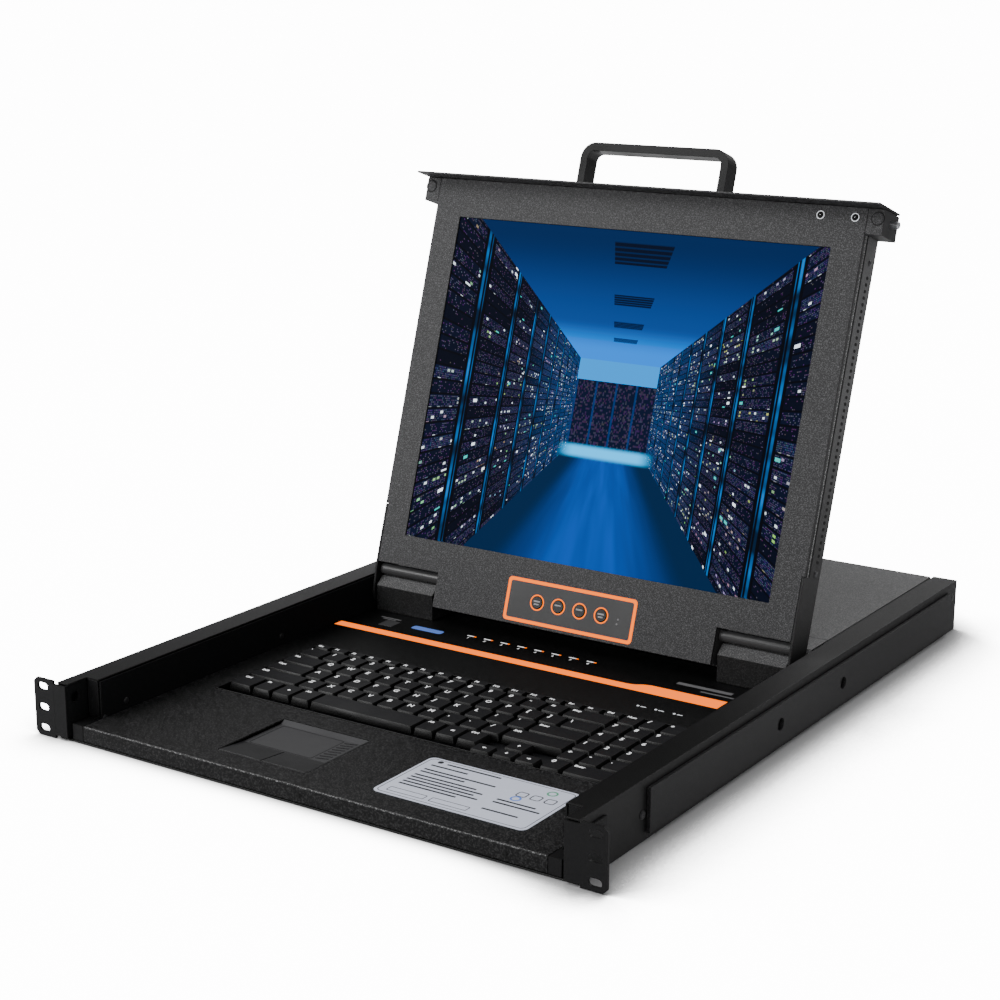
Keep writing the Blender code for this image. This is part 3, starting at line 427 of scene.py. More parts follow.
def display_picture(name):
    g = Graph(name)
    half = SCREEN_WIDTH / 2
    across = g.math("MULTIPLY_ADD", g.dot(g.place, RIGHT), 1 / MM, -VANISH_X)
    base = MONITOR.translation.dot(UPWARD) / MM
    rise = g.math("MULTIPLY_ADD", g.dot(g.place, tuple(UPWARD)), 1 / MM, -base - VANISH_V)
    across, rise = g.math("DIVIDE", across, half), g.math("DIVIDE", rise, half)
    reach = g.math("ABSOLUTE", across)
    wall = g.times(reach, WALL_RATE)
    roof, ground = g.times(rise, ROOF_RATE), g.times(rise, -FLOOR_RATE)
    near = g.math("MAXIMUM", g.math("MAXIMUM", wall, roof), g.math("MAXIMUM", ground, FAR_END))
    depth, side = g.math("DIVIDE", 1.0, near), g.math("DIVIDE", across, near)
    level = g.math("DIVIDE", rise, near)
    cabinets = cabinet_wall(g, depth, level, g.math("SIGN", across), g.steps(near, FAR_END, 0.62))
    floor_color = aisle_floor(g, side, depth)
    roof_color = aisle_roof(g, near, side, depth)
    end = far_wall(g, across, rise)
    color = g.mix(g.above(rise, 0.0), floor_color, roof_color)
    color = g.mix(g.above(wall, g.math("MAXIMUM", roof, ground)), color, cabinets)
    color = g.mix(g.below(near, FAR_END + 0.0005), color, end)
    # A line of light where the far end meets the floor.
    from_line = g.math("ABSOLUTE", g.math("ADD", rise, FAR_END / FLOOR_RATE))
    glow = g.steps(from_line, 0.012, 0.040, 1.0, 0.0)
    glow = g.times(glow, g.steps(reach, 0.17, 0.27, 1.0, 0.0))
    color = g.mix(glow, color, FLOOR_LINE)
    g.set(
        Base_Color=(0.0015, 0.0015, 0.002), Roughness=0.5, Specular_IOR_Level=0.02,
        Emission_Color=color, Emission_Strength=g.seen(1.0),
    )
    return g.material


def grey(value, blue=None):
    """A grey, or one that leans to blue if a blue value is given."""
    return (value, value, value if blue is None else blue)


ORANGE = (2.1, 0.34, 0.0)
EVEN_GRAIN = (300.0, 300.0, 300.0)

LOOK = {
    "coat": coat("powder_coat", grey(0.008, 0.0085), grey(0.035, 0.037), 0.5, 0.6, gloss=0.2),
    # Painted shade: the shell's side walls are darker than its top, and the top darkens towards the front
    # right.
    "shell": coat("shell_coat", grey(0.040, 0.041), grey(0.130, 0.132), 0.5, 0.7,
                  side_shade=0.16, gloss=0.2, painted_fade=((-0.45, 1.0, 0.0), -0.30, 0.26, 0.05)),
    # Painted shade: the bezel's faces that look left or right are darker.
    "bezel": coat("bezel_coat", grey(0.019, 0.020), grey(0.088, 0.091), 0.52, 1.0, 1300.0,
                  flank_shade=0.4),
    "cover": coat("cover_coat", grey(0.115, 0.117), grey(0.27, 0.275), 0.5, 0.9, 1300.0),
    "rear": coat("rear_coat", grey(0.030, 0.031), grey(0.10, 0.102), 0.5, 0.8),
    # Painted highlight: a dark coat with bright specks for the light along the lip's fold.
    "fold": coat("fold_painted_highlight", grey(0.015, 0.0153), grey(0.20, 0.203), 0.45, 1.0, 900.0, gloss=0.2),
    # Painted highlight: a light band for the light caught on a rounded edge.
    "edge": coat("edge_painted_highlight", grey(0.05, 0.051), grey(0.46, 0.465), 0.4, 1.0, 1100.0),
    # Painted shade: the hinge faces that do not look up are much darker than its top.
    "hinge": coat("hinge_coat", grey(0.034, 0.035), grey(0.15, 0.153), 0.52, 1.0, 1300.0,
                  side_shade=0.17),
    # Painted shade: the monitor's side coat darkens towards the bottom.
    "side": coat("side_coat", grey(0.075, 0.077), grey(0.18, 0.183), 0.5, 0.6,
                 painted_fade=(UP, 0.075, 0.26, 0.10)),
    # Painted shade: faces that do not look up, such as the lip, are darker, and the top darkens towards the
    # back.
    "deck": coat("deck_coat", grey(0.0035, 0.0037), grey(0.058, 0.059), 0.44, 0.9, 950.0,
                 side_shade=0.48, gloss=0.17, painted_fade=((0.0, -1.0, 0.0), 0.0, 0.17, 0.15)),
    "wall": coat("wall_coat", grey(0.005, 0.0053), grey(0.015, 0.016), 0.5, 0.4, gloss=0.15),
    "handle": plastic("handle_satin", grey(0.006, 0.0063), 0.3, 900.0, 0.08, gloss=0.2),
    "tube": plastic("tube_satin", grey(0.045, 0.046), 0.3, 900.0, 0.08),
    # Painted shade: key cap sides are much darker than the tops.
    "key": plastic("key_plastic", grey(0.011, 0.0122), 0.42, side_shade=0.12, gloss=0.25),
    "pad": plastic("pad_plastic", grey(0.040, 0.042), 0.4),
    "button": plastic("button_plastic", grey(0.012, 0.013), 0.38),
    "film": plastic("panel_film", grey(0.040, 0.041), 0.5, 900.0, 0.02),
    "connector": plastic("connector_black", grey(0.012), 0.5),
    "insert": plastic("connector_insert", (0.02, 0.04, 0.13), 0.5),
    "zinc": metal("zinc_steel", (0.62, 0.63, 0.65)),
    "slide": metal("dark_slide", grey(0.05, 0.052), 0.45),
    "gold": metal("contact_gold", (0.80, 0.58, 0.20), 0.25),
    "chrome": metal("bright_plate", (0.75, 0.76, 0.78), 0.18, EVEN_GRAIN),
    "dark_screw": metal("black_oxide", grey(0.10, 0.105), 0.38, EVEN_GRAIN),
    "board": board_green("circuit_board"),
    "orange": bright_ink("orange_ink", ORANGE),
    # Painted light: the white ink glows, seen only by the camera.
    "white": paint("white_ink", (0.80, 0.81, 0.82), 0.5, 0.75),
    "grey_ink": paint("grey_ink", (0.30, 0.30, 0.31), 0.5),
    "faint": paint("faint_ink", grey(0.16, 0.165), 0.5),
    # Painted light: the blue ink glows a little, seen only by the camera.
    "blue_ink": paint("blue_ink", (0.10, 0.20, 0.62), 0.5, 0.25),
    "green_ink": paint("green_ink", (0.10, 0.38, 0.22), 0.5),
    # Lamp lenses glow with their own light; on the marks beside the lock lamps and on the bezel screws' rims
    # and crosses this glow is painted light.
    "lamp": paint("lamp_and_highlight_white", (0.85, 0.88, 0.92), 0.3, 0.35),
    # Painted light: the label film glows a little, seen only by the camera.
    "label": paint("label_film", (0.60, 0.63, 0.74), 0.35, 0.17),
    "label_ink": paint("label_ink", (0.015, 0.016, 0.02), 0.6),
    # Black for screw heads, and painted shade for holes, slots and seams, which are black sheets on the
    # surface.
    "void": paint("black_and_painted_shade", grey(0.0008), 0.95),
    "picture": display_picture("display_picture"),
}

# ------------------------------------ mesh helpers


def add_object(name, data):
    obj = bpy.data.objects.new(name, data)
    bpy.context.scene.collection.objects.link(obj)
    return obj


def piece(name, bm, look, body, place=ROW, bevel=0.0):
    """Turns a bmesh in millimetres into a finished piece that rides on a body."""
    bmesh.ops.remove_doubles(bm, verts=bm.verts, dist=0.0001)
    bmesh.ops.recalc_face_normals(bm, faces=bm.faces)
    bmesh.ops.transform(bm, matrix=place @ Matrix.Scale(MM, 4), verts=bm.verts)
    mesh = bpy.data.meshes.new(name)
    bm.to_mesh(mesh)
    bm.free()
    mesh.shade_smooth()
    mesh.set_sharp_from_angle(angle=math.radians(35))
    mesh.materials.append(LOOK[look])
    obj = add_object(name, mesh)
    if bevel:
        soften(obj, bevel)
    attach(obj, body)
    return obj


UNTURNED = Matrix.Identity(4)


def soften(obj, width, segments=2):
    bevel = obj.modifiers.new("edges", "BEVEL")
    bevel.width = width * MM
    bevel.segments = segments
    bevel.limit_method = "ANGLE"
    bevel.angle_limit = math.radians(40)
    bevel.harden_normals = True


def add_loop(bm, outline, z, turn=UNTURNED):
    return [bm.verts.new(turn @ Vector((x, y, z))) for x, y in outline]


def bridge(bm, first, second):
    """Quads between two loops with the same number of points."""
    count = len(first)
    for i in range(count):
        j = (i + 1) % count
        bm.faces.new((first[i], first[j], second[j], second[i]))


def add_prism(bm, outline, low, high, turn=UNTURNED):
    """An outline in XY pushed from low to high along Z, then turned into place."""
    bottom, top = add_loop(bm, outline, low, turn), add_loop(bm, outline, high, turn)
    bm.faces.new(list(reversed(bottom)))
    bm.faces.new(top)
    bridge(bm, bottom, top)


def prisms(name, outlines, low, high, look, body, slot="powder_coat", turn=UNTURNED, place=ROW):
    """One piece made of outlines that share a thickness."""
    bm = bmesh.new()
    for outline in outlines:
        add_prism(bm, outline, low, high, turn)
    return piece(name, bm, look, body, place)


def add_ring(bm, outer, inner, low, high, turn=UNTURNED):
    """A closed band between two outlines with the same number of points."""
    corners = ((outer, low), (outer, high), (inner, high), (inner, low))
    loops = [add_loop(bm, outline, z, turn) for outline, z in corners]
    for first, second in zip(loops, loops[1:] + loops[:1]):
        bridge(bm, first, second)


def rounded(x_low, y_low, x_high, y_high, radius, steps=6):
    """A rectangle with round corners."""
    corners = (
        (x_high - radius, y_high - radius, 0),
        (x_low + radius, y_high - radius, 90),
        (x_low + radius, y_low + radius, 180),
        (x_high - radius, y_low + radius, 270),
    )
    points = []
    for x, y, start in corners:
        for i in range(steps + 1):
            angle = math.radians(start + 90 * i / steps)
            points.append((x + radius * math.cos(angle), y + radius * math.sin(angle)))
    return points


def border(x_low, y_low, x_high, y_high, width, radius, inner_radius):
    """The outer and the inner outline of a rectangular band."""
    inner = rounded(x_low + width, y_low + width, x_high - width, y_high - width, inner_radius)
    return rounded(x_low, y_low, x_high, y_high, radius), inner


def bar(x, y, width, height):
    return [(x, y), (x + width, y), (x + width, y + height), (x, y + height)]


def disc(x, y, radius, steps=24):
    return [
        (x + radius * math.cos(math.tau * i / steps), y + radius * math.sin(math.tau * i / steps))
        for i in range(steps)
    ]


def add_lathe(bm, profile, turn=UNTURNED, steps=24):
    """A (radius, height) profile, starting and ending on the axis, turned about Z."""
    rings = []
    for radius, z in profile:
        rings.append(add_loop(bm, disc(0, 0, radius, steps) if radius else [(0, 0)], z, turn))
    for first, second in zip(rings, rings[1:]):
        for i in range(steps):
            j = (i + 1) % steps
            corners = [first[i % len(first)], first[j % len(first)]]
            corners += [second[j % len(second)], second[i % len(second)]]
            bm.faces.new(dict.fromkeys(corners))


# Turns that point a shape's Z at each side of the object.
FACING = {
    "up": Matrix.Identity(4),
    "front": Matrix.Rotation(math.pi / 2, 4, "X"),
    "rear": Matrix.Rotation(-math.pi / 2, 4, "X"),
    "right": Matrix.Rotation(math.pi / 2, 4, "Y"),
    "left": Matrix.Rotation(-math.pi / 2, 4, "Y"),
}


def at(x, y, z, facing="up", roll=0.0):
    return Matrix.Translation((x, y, z)) @ FACING[facing] @ Matrix.Rotation(math.radians(roll), 4, "Z")


def add_screw(bm, turn, radius):
    """A domed head with a dip in its middle, where four wedges leave a cross recess."""
    crown = radius * 0.42
    profile = [(0, -0.2), (radius, -0.2), (radius, crown * 0.35), (radius * 0.8, crown * 0.8)]
    profile += [(radius * 0.5, crown), (radius * 0.42, crown)]
    profile += [(radius * 0.16, crown * 0.25), (0, crown * 0.2)]
    add_lathe(bm, profile, turn)
    for quarter in range(4):
        spin = turn @ Matrix.Rotation(math.radians(90 * quarter + 45), 4, "Z")
        wedge = [(radius * 0.12, -radius * 0.12), (radius * 0.46, -radius * 0.3)]
        wedge += [(radius * 0.46, radius * 0.3), (radius * 0.12, radius * 0.12)]
        add_prism(bm, wedge, crown * 0.1, crown * 0.98, spin)


def screws(name, places, radius, look, body, place=ROW):
    bm = bmesh.new()
    for turn in places:
        add_screw(bm, turn, radius)
    return piece(name, bm, look, body, place)


# ------------------------------------ carried-over nodes

NODE_LOOK = {
    "powder_coat": "coat",
    "zinc_steel": "zinc",
    "connector_black": "connector",
    "connector_metal": "chrome",
    "circuit_board": "board",
    "key_plastic": "key",
    "pad_plastic": "pad",
    "label_film": "label",
    "handle_satin": "handle",
    "display": "picture",
}
SPECIAL_NODES = {
    "wall": "rack_ear tray_pan slide_inner",
    "rear": "rear_panel rear_cover",
    "shell": "chassis_shell",
    "button": "pad_button osd_button",
    "bezel": "screen_bezel front_panel latch_housing",
    "deck": "keyboard_deck",
    "hinge": "hinge_block",
    "side": "side_plate",
    "slide": "slide_outer slide_middle",
    "cover": "top_cover hinge_cover",
    "tube": "hinge_tube",
    "pad": "power_button",
}
SPECIAL_LOOK = {node: look for look, nodes in SPECIAL_NODES.items() for node in nodes.split()}
EDGE_WIDTH = 0.35
WIDE_EDGES = {"handle": 1.5, "rack_ear": 0.5}
PLAIN_EDGED = ("lcd_panel", "rating_label", "touchpad")


def plain_name(name):
    """A node's name without its side or its number."""
    return name.rstrip("_1234").removesuffix("_left").removesuffix("_right")


def dress_nodes():
    slots = {entry["node"]: entry["material_slot"] for entry in frame["record"]["subparts"]}
    for name, obj in NODES.items():
        look = SPECIAL_LOOK.get(plain_name(name), NODE_LOOK[slots[name]])
        obj.data.materials.clear()
        obj.data.materials.append(LOOK[look])
        if name in PLAIN_EDGED:
            continue
        weld = obj.modifiers.new("weld", "WELD")
        weld.merge_threshold = 0.000005
        soften(obj, WIDE_EDGES.get(plain_name(name), EDGE_WIDTH), 3)


# ------------------------------------ keyboard

LEGENDS = {
    "function_keys": "Esc F1 F2 F3 F4 F5 F6 F7 F8 F9 F10 F11 F12 Prt Scr Ins Del".split(),
    "number_keys": "` 1 2 3 4 5 6 7 8 9 0 - = Bksp".split(),
    "upper_letter_keys": "Tab Q W E R T Y U I O P [ ] \\".split(),
    "home_letter_keys": "Caps A S D F G H J K L ; ' Enter".split(),
    "lower_letter_keys": "Shift Z X C V B N M , . / Shift".split(),
    "modifier_keys": "Ctrl Fn @dot Alt Alt @menu Ctrl".split(),
    "space_bar": [""],
    "arrow_keys": "@left @down @right @up".split(),
    "numpad_keys": "0 Enter + - . 1 2 3 4 5 6 7 8 9 Num / *".split(),
}
KEY_BODY = {name: NODES[name]["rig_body"] for name in LEGENDS}
LETTER_SIZE, WORD_SIZE, LETTER_THICK = 6.2, 3.7, 0.06
CAP_TAPER, CAP_DISH = 1.15, 0.12


def key_tops(name):
    """Each key's plan in a row, (x low, y low, x high, y high) in mm, and the height of the flat tops."""
    mesh = NODES[name].data
    top = max(vertex.co.z for vertex in mesh.vertices)
    groups = []
    for polygon in mesh.polygons:
        corners = [mesh.vertices[i].co for i in polygon.vertices]
        if min(corner.z for corner in corners) < top - 0.00002:
            continue
        spots = {(round(c.x / MM, 2), round((c.y - EAR_PLANE) / MM, 2)) for c in corners}
        touching = [group for group in groups if group & spots]
        for group in touching:
            spots |= group
            groups.remove(group)
        groups.append(spots)
    plans = []
    for group in groups:
        xs, ys = [x for x, _ in group], [y for _, y in group]
        plans.append((min(xs), min(ys), max(xs), max(ys)))
    return sorted(plans, key=lambda plan: (round(plan[1]), plan[0])), top / MM


def add_cap(bm, plan, low, high):
    """A tapered key cap with a dished top."""
    x0, y0, x1, y1 = plan
    # Each level: its height, its inset at the sides, at the front and at the back, and its corner radius.
    levels = (
        (low, 0.0, 0.0, 0.0, 0.9),
        (low + 0.9, 0.1, 0.1, 0.1, 0.9),
        (high - 0.3, CAP_TAPER * 0.85, 0.9, 0.9, 0.9),
        (high, CAP_TAPER, 1.2, 0.6, 0.9),
        (high - CAP_DISH, CAP_TAPER + 1.2, 1.9, 1.7, 0.7),
    )
    loops = []
    for z, side, front, back, radius in levels:
        outline = rounded(x0 + side, y0 + front, x1 - side, y1 - back, radius, 3)
        loops.append(add_loop(bm, outline, z))
    for first, second in zip(loops, loops[1:]):
        bridge(bm, first, second)
    bm.faces.new(list(reversed(loops[0])))
    bm.faces.new(loops[-1])


def merged_numpad(plans):
    """Joins the last two keys of the front row into one wide key."""
    front = [plan for plan in plans if abs(plan[1] - plans[0][1]) < 2]
    rest = plans[len(front):]
    wide = (front[1][0], front[1][1], front[2][2], front[2][3])
    return [front[0], wide] + rest


def add_curve(bm, curve, place):
    """Adds a curve's filled shape to a mesh, and removes the curve."""
    obj = add_object(curve.name, curve)
    graph = bpy.context.evaluated_depsgraph_get()
    mesh = bpy.data.meshes.new_from_object(obj.evaluated_get(graph))
    mesh.transform(place)
    bm.from_mesh(mesh)
    bpy.data.objects.remove(obj)
    bpy.data.curves.remove(curve)
    bpy.data.meshes.remove(mesh)


def add_text(bm, text, x, y, z, size):
    """Lettering that lies flat, its lower left corner at x, y."""
    curve = bpy.data.curves.new("lettering", "FONT")
    curve.body = text
    curve.size = size
    curve.extrude = LETTER_THICK
    curve.offset = size * 0.02
    curve.resolution_u = 3
    add_curve(bm, curve, Matrix.Translation((x, y, z)))


def add_sign(bm, sign, x, y, z):
    """A plain mark for a key with no letter."""
    shapes = {
        "@dot": [disc(0.0, 0.0, 1.1, 16)],
        "@menu": [bar(-1.5, v, 3.0, 0.35) for v in (-1.0, -0.1, 0.8)],
    }
    arrow = [(-1.7, 0.0), (0.1, -1.3), (0.1, -0.3), (1.7, -0.3), (1.7, 0.3), (0.1, 0.3), (0.1, 1.3)]
    turns = {"@left": 0, "@down": 90, "@right": 180, "@up": 270}
    if sign in turns:
        angle = math.radians(turns[sign])
        cos, sin = math.cos(angle), math.sin(angle)
        shapes[sign] = [[(u * cos - v * sin, u * sin + v * cos) for u, v in arrow]]
    for shape in shapes[sign]:
        add_prism(bm, [(x + u, y + v) for u, v in shape], z - LETTER_THICK, z + LETTER_THICK)


def build_keys():
    for name, legends in LEGENDS.items():
        plans, top = key_tops(name)
        if name == "numpad_keys":
            plans = merged_numpad(plans)
        caps, marks = bmesh.new(), bmesh.new()
        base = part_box("modifier_keys")[0].z / MM
        for plan, legend in zip(plans, legends):
            add_cap(caps, plan, base, top)
            x, y = plan[0] + CAP_TAPER + 1.3, plan[3] - 2.4
            z = top - CAP_DISH + 0.07
            if legend.startswith("@"):
                add_sign(marks, legend, (plan[0] + plan[2]) / 2, (plan[1] + plan[3]) / 2 + 1.0, z)
            elif legend:
                single = len(legend) == 1
                size = LETTER_SIZE if single else WORD_SIZE
                add_text(marks, legend, x, y - size * (0.7 if single else 0.75), z, size)
        body = KEY_BODY[name]
        shown = piece(f"{name}_caps", caps, "key", body)
        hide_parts(name)
        if marks.verts:
            piece(f"{name}_legends", marks, "white", body)
        else:
            marks.free()


# ------------------------------------ deck

STRIPE = (
    (-196.5, 291.5), (86.0, 291.0), (161.5, 290.6), (161.5, 307.5), (97.0, 307.5),
    (91.0, 306.0), (85.0, 302.4), (79.0, 301.2), (-196.5, 301.2),
)
PRINT = 0.12
PORT_FIRST, PORT_PITCH, PORTS = -83.6, 16.3, 8
LOCK_LAMPS, LOCK_LINE = (110.2, 125.3, 140.8), 263.0


def deck_print(name, outlines, look):
    return prisms(name, outlines, DECK_TOP, DECK_TOP + PRINT, look, "drawer", "pad_plastic")


def build_deck():
    deck_print("orange_stripe", [STRIPE], "orange")
    ports = [PORT_FIRST + PORT_PITCH * i for i in range(PORTS)]
    deck_print("port_dashes", [bar(x - 4.2, 328.0, 6.4, 1.3) for x in ports], "white")
    deck_print("port_tips", [bar(x + 2.4, 328.0, 2.0, 1.3) for x in ports], "orange")
    bm = bmesh.new()
    for i, x in enumerate(ports):
        add_text(bm, str(i + 1), x - 1.2, 322.5, DECK_TOP + LETTER_THICK, 3.4)
    piece("port_numbers", bm, "white", "drawer")
    lamps = bmesh.new()
    for x in LOCK_LAMPS:
        dome = [(0, -0.3), (1.1, -0.3), (1.1, 0.15), (0.7, 0.4), (0, 0.5)]
        add_lathe(lamps, dome, at(x, LOCK_LINE + 0.7, DECK_TOP), 16)
        add_prism(lamps, bar(x + 2.4, LOCK_LINE, 4.4, 1.0), DECK_TOP, DECK_TOP + PRINT)
    piece("lock_lamps", lamps, "lamp", "drawer")
    deck_print("name_bar", [rounded(-138.0, 318.0, -108.0, 325.5, 2.5)], "blue_ink")
    deck_print("title_bars", [bar(110.0, 322.0, 47.0, 4.6), bar(134.0, 315.5, 28.0, 2.0)], "faint")
    deck_print("power_bars", [bar(-176.0, 329.0, 20.0, 1.5), bar(-172.0, 326.2, 13.0, 1.0)], "faint")


def build_lip():
    """The screws in the deck's front edge, and a strip along the fold at its top whose lighter coat is a
    painted highlight.
    """
    lip = [at(0.3, 2.85, 6.8, "front"), at(165.1, 2.85, 6.7, "front")]
    screws("lip_screws", lip, 2.2, "void", "drawer")
    low, high = box_mm("keyboard_deck")
    front = low.y
    fold = [(front - 0.08, DECK_TOP - 0.8), (front + 0.9, DECK_TOP - 0.8), (front + 0.9, DECK_TOP + 0.06)]
    fold += [(front + 0.3, DECK_TOP + 0.06), (front - 0.02, DECK_TOP - 0.2)]
    along = Matrix((BACK, UP, RIGHT)).transposed().to_4x4()
    prisms("lip_fold_highlight", [fold], low.x + 1.0, high.x - 1.0, "fold", "drawer", "powder_coat", along)


LABEL_CORNER, LABEL_INK = 5.0, 0.05
LABEL_RINGS = (("label_green", "green_ink", 104.0, 86.0), ("label_blue", "blue_ink", 88.0, 66.0))
# Each row of label print: its y, its distance from the label's left edge and its length.
LABEL_ROWS = (
    (88.4, 17, 44), (82, 8, 30), (74, 8, 58), (69.5, 8, 36), (63, 8, 50), (58.5, 8, 58),
    (54, 8, 54), (49.5, 8, 60), (45, 8, 46), (58, 78, 30), (53, 78, 36), (40, 78, 28),
)


def build_label():
    low, high = box_mm("rating_label")
    left, top = low.x, high.z
    sheet = rounded(left, low.y, high.x, high.y, LABEL_CORNER)
    film = prisms("label_sheet", [sheet], DECK_TOP + 0.02, top, "label", "drawer", "label_film")
    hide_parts("rating_label")
    bands = [border(left + 2, low.y + 2, high.x - 2, high.y - 2, 0.5, 4.0, 3.6)]
    bands += [border(left + x, 70, left + x + 8, 78, 0.8, 2.0, 1.4) for x in (84, 95, 106)]
    bands += [border(left + x, 31, left + x + 30, 37.5, 0.6, 1.0, 0.7) for x in (8, 42)]
    bm = bmesh.new()
    for outer, inner in bands:
        add_ring(bm, outer, inner, top, top + LABEL_INK)
    for y, inset, length in LABEL_ROWS:
        add_prism(bm, bar(left + inset, y, length, 1.9), top, top + LABEL_INK)
    add_prism(bm, disc(left + 11, 90.0, 2.2, 16), top, top + LABEL_INK)
    piece("label_marks", bm, "label_ink", "drawer")
    for name, look, x, y in LABEL_RINGS:
        bm = bmesh.new()
        add_ring(bm, disc(left + x, y, 4.0), disc(left + x, y, 2.6), top, top + LABEL_INK)
        piece(name, bm, look, "drawer")


PAD_SURFACE = 11.0


def build_touchpad():
    bm = bmesh.new()
    for i in range(8):
        y = 53.5 + i * 4.6
        rib = [(-25.5, y), (-16.5, y + 2.6), (-16.5, y + 3.6), (-25.5, y + 1.0)]
        add_prism(bm, rib, PAD_SURFACE - 0.05, PAD_SURFACE + 0.35)
    piece("scroll_ribs", bm, "button", "drawer", bevel=0.1)
    rim = border(-89.6, 22.4, -9.4, 97.6, 0.9, 3.0, 2.2)
    outline = border(-83.6, 50.9, -27.5, 89.6, 0.6, 2.0, 1.6)
    for name, band, z in (("pad_rim", rim, DECK_TOP), ("pad_outline", outline, PAD_SURFACE)):
        bm = bmesh.new()
        add_ring(bm, *band, z - 0.05, z + 0.12)
        piece(name, bm, "button", "drawer")


# ------------------------------------ monitor

ON_BEZEL = FACING["front"]
BEZEL_PRINT = (-0.05, 0.15)
OSD_BUTTONS, OSD_LINE = (-30.7, -10.8, 9.2, 29.2), -34.0
OSD_HOLE, OSD_RING, OSD_FACE = 5.45, 6.5, 0.78
BEZEL_SCREWS, BEZEL_SCREW_LINE = (156.6, 184.8), 294.4
LATCHES, LATCH_LINE = (-203.0, 203.0), 294.7


def on_bezel(x, v):
    return Matrix.Translation((x, 0, v)) @ ON_BEZEL


def osd_film(outline):
    """The smooth film inside the frame, with a hole around each button."""
    curve = bpy.data.curves.new("film", "CURVE")
    curve.dimensions = "2D"
    curve.fill_mode = "BOTH"
    curve.extrude = 0.04
    for loop in [outline] + [disc(x, OSD_LINE, OSD_HOLE, 32) for x in OSD_BUTTONS]:
        spline = curve.splines.new("POLY")
        spline.points.add(len(loop) - 1)
        for point, (x, y) in zip(spline.points, loop):
            point.co = (x, y, 0.0, 1.0)
        spline.use_cyclic_u = True
    bm = bmesh.new()
    add_curve(bm, curve, ON_BEZEL @ Matrix.Translation((0.0, 0.0, 0.05)))
    return bm


def build_osd():
    bm = bmesh.new()
    outer, inner = border(-60.4, -52.0, 59.6, -16.6, 2.7, 3.2, 1.7)
    add_ring(bm, outer, inner, *BEZEL_PRINT, ON_BEZEL)
    for x in OSD_BUTTONS:
        ring, hole = disc(x, OSD_LINE, OSD_RING, 32), disc(x, OSD_LINE, OSD_HOLE, 32)
        add_ring(bm, ring, hole, *BEZEL_PRINT, ON_BEZEL)
    piece("osd_frame", bm, "orange", "monitor", place=MONITOR)
    for i, x in enumerate(OSD_BUTTONS):
        words = [bar(x - 2.9, OSD_LINE + 0.4, 5.8, 1.2)]
        if i in (0, len(OSD_BUTTONS) - 1):
            words.append(bar(x - 2.2, OSD_LINE - 2.0, 4.4, 1.2))
        prisms(f"osd_mark_{i + 1}", words, OSD_FACE, OSD_FACE + PRINT, "grey_ink",
               f"osd_button_body_{i + 1}", "pad_plastic", ON_BEZEL, MONITOR)
    piece("osd_film", osd_film(inner), "film", "monitor", place=MONITOR)
    bm = bmesh.new()
    for x, v in ((44.9, -34.7), (44.3, -38.4)):
        add_lathe(bm, [(0, -0.2), (0.9, -0.2), (0.9, 0.1), (0.5, 0.3), (0, 0.35)], on_bezel(x, v), 12)
    piece("power_lamps", bm, "faint", "monitor", MONITOR)


def build_bezel_corners():
    """Two screws whose rims and crosses glow as a painted highlight, and the round latch faces ringed with a
    black seam of painted shade, at the top of the bezel.
    """
    faces = [on_bezel(x, BEZEL_SCREW_LINE) for x in BEZEL_SCREWS]
    screws("bezel_screws", faces, 2.6, "void", "monitor", MONITOR)
    bm = bmesh.new()
    for turn in faces:
        add_ring(bm, disc(0, 0, 3.2, 32), disc(0, 0, 2.7, 32), -0.1, 0.5, turn)
        for corner in (45, 135):
            spin = turn @ Matrix.Rotation(math.radians(corner), 4, "Z")
            add_prism(bm, bar(-1.3, -0.22, 2.6, 0.44), 0.4, 1.05, spin)
    piece("bezel_screw_highlights", bm, "lamp", "monitor", MONITOR)
    rims, seams = bmesh.new(), bmesh.new()
    for x in LATCHES:
        rim = [(0, -0.2), (4.6, -0.2), (4.6, 0.25), (4.2, 0.5), (3.4, 0.5), (3.0, 0.15), (0, 0.1)]
        add_lathe(rims, rim, on_bezel(x, LATCH_LINE), 32)
        # A black ring around each latch face: painted shade in the seam.
        add_ring(seams, disc(0, 0, 5.3, 32), disc(0, 0, 4.5, 32), -0.1, 0.12, on_bezel(x, LATCH_LINE))
    piece("latch_discs", rims, "bezel", "monitor", place=MONITOR)
    piece("latch_seam_shade", seams, "void", "monitor", place=MONITOR)


# Each band along the monitor's side: its name, its look, its depths behind the bezel and its thickness.
BAND_THICK = 0.3
# The rib's light look is a painted highlight on a rounded edge, the seam's black is painted shade in a
# groove, and the strip darkens towards the bottom as painted shade.
SIDE_BANDS = (
    ("strip", "side", 8.8, 27.4, BAND_THICK),
    ("rib", "edge", 4.3, 5.9, BAND_THICK),
    ("seam", "void", 5.9, 8.8, 0.1),
)
SLOT_FIRST, SLOT_PITCH, SLOTS = 36.0, 5.04, 44
SLOT_LOW, SLOT_HIGH = 16.6, 20.6


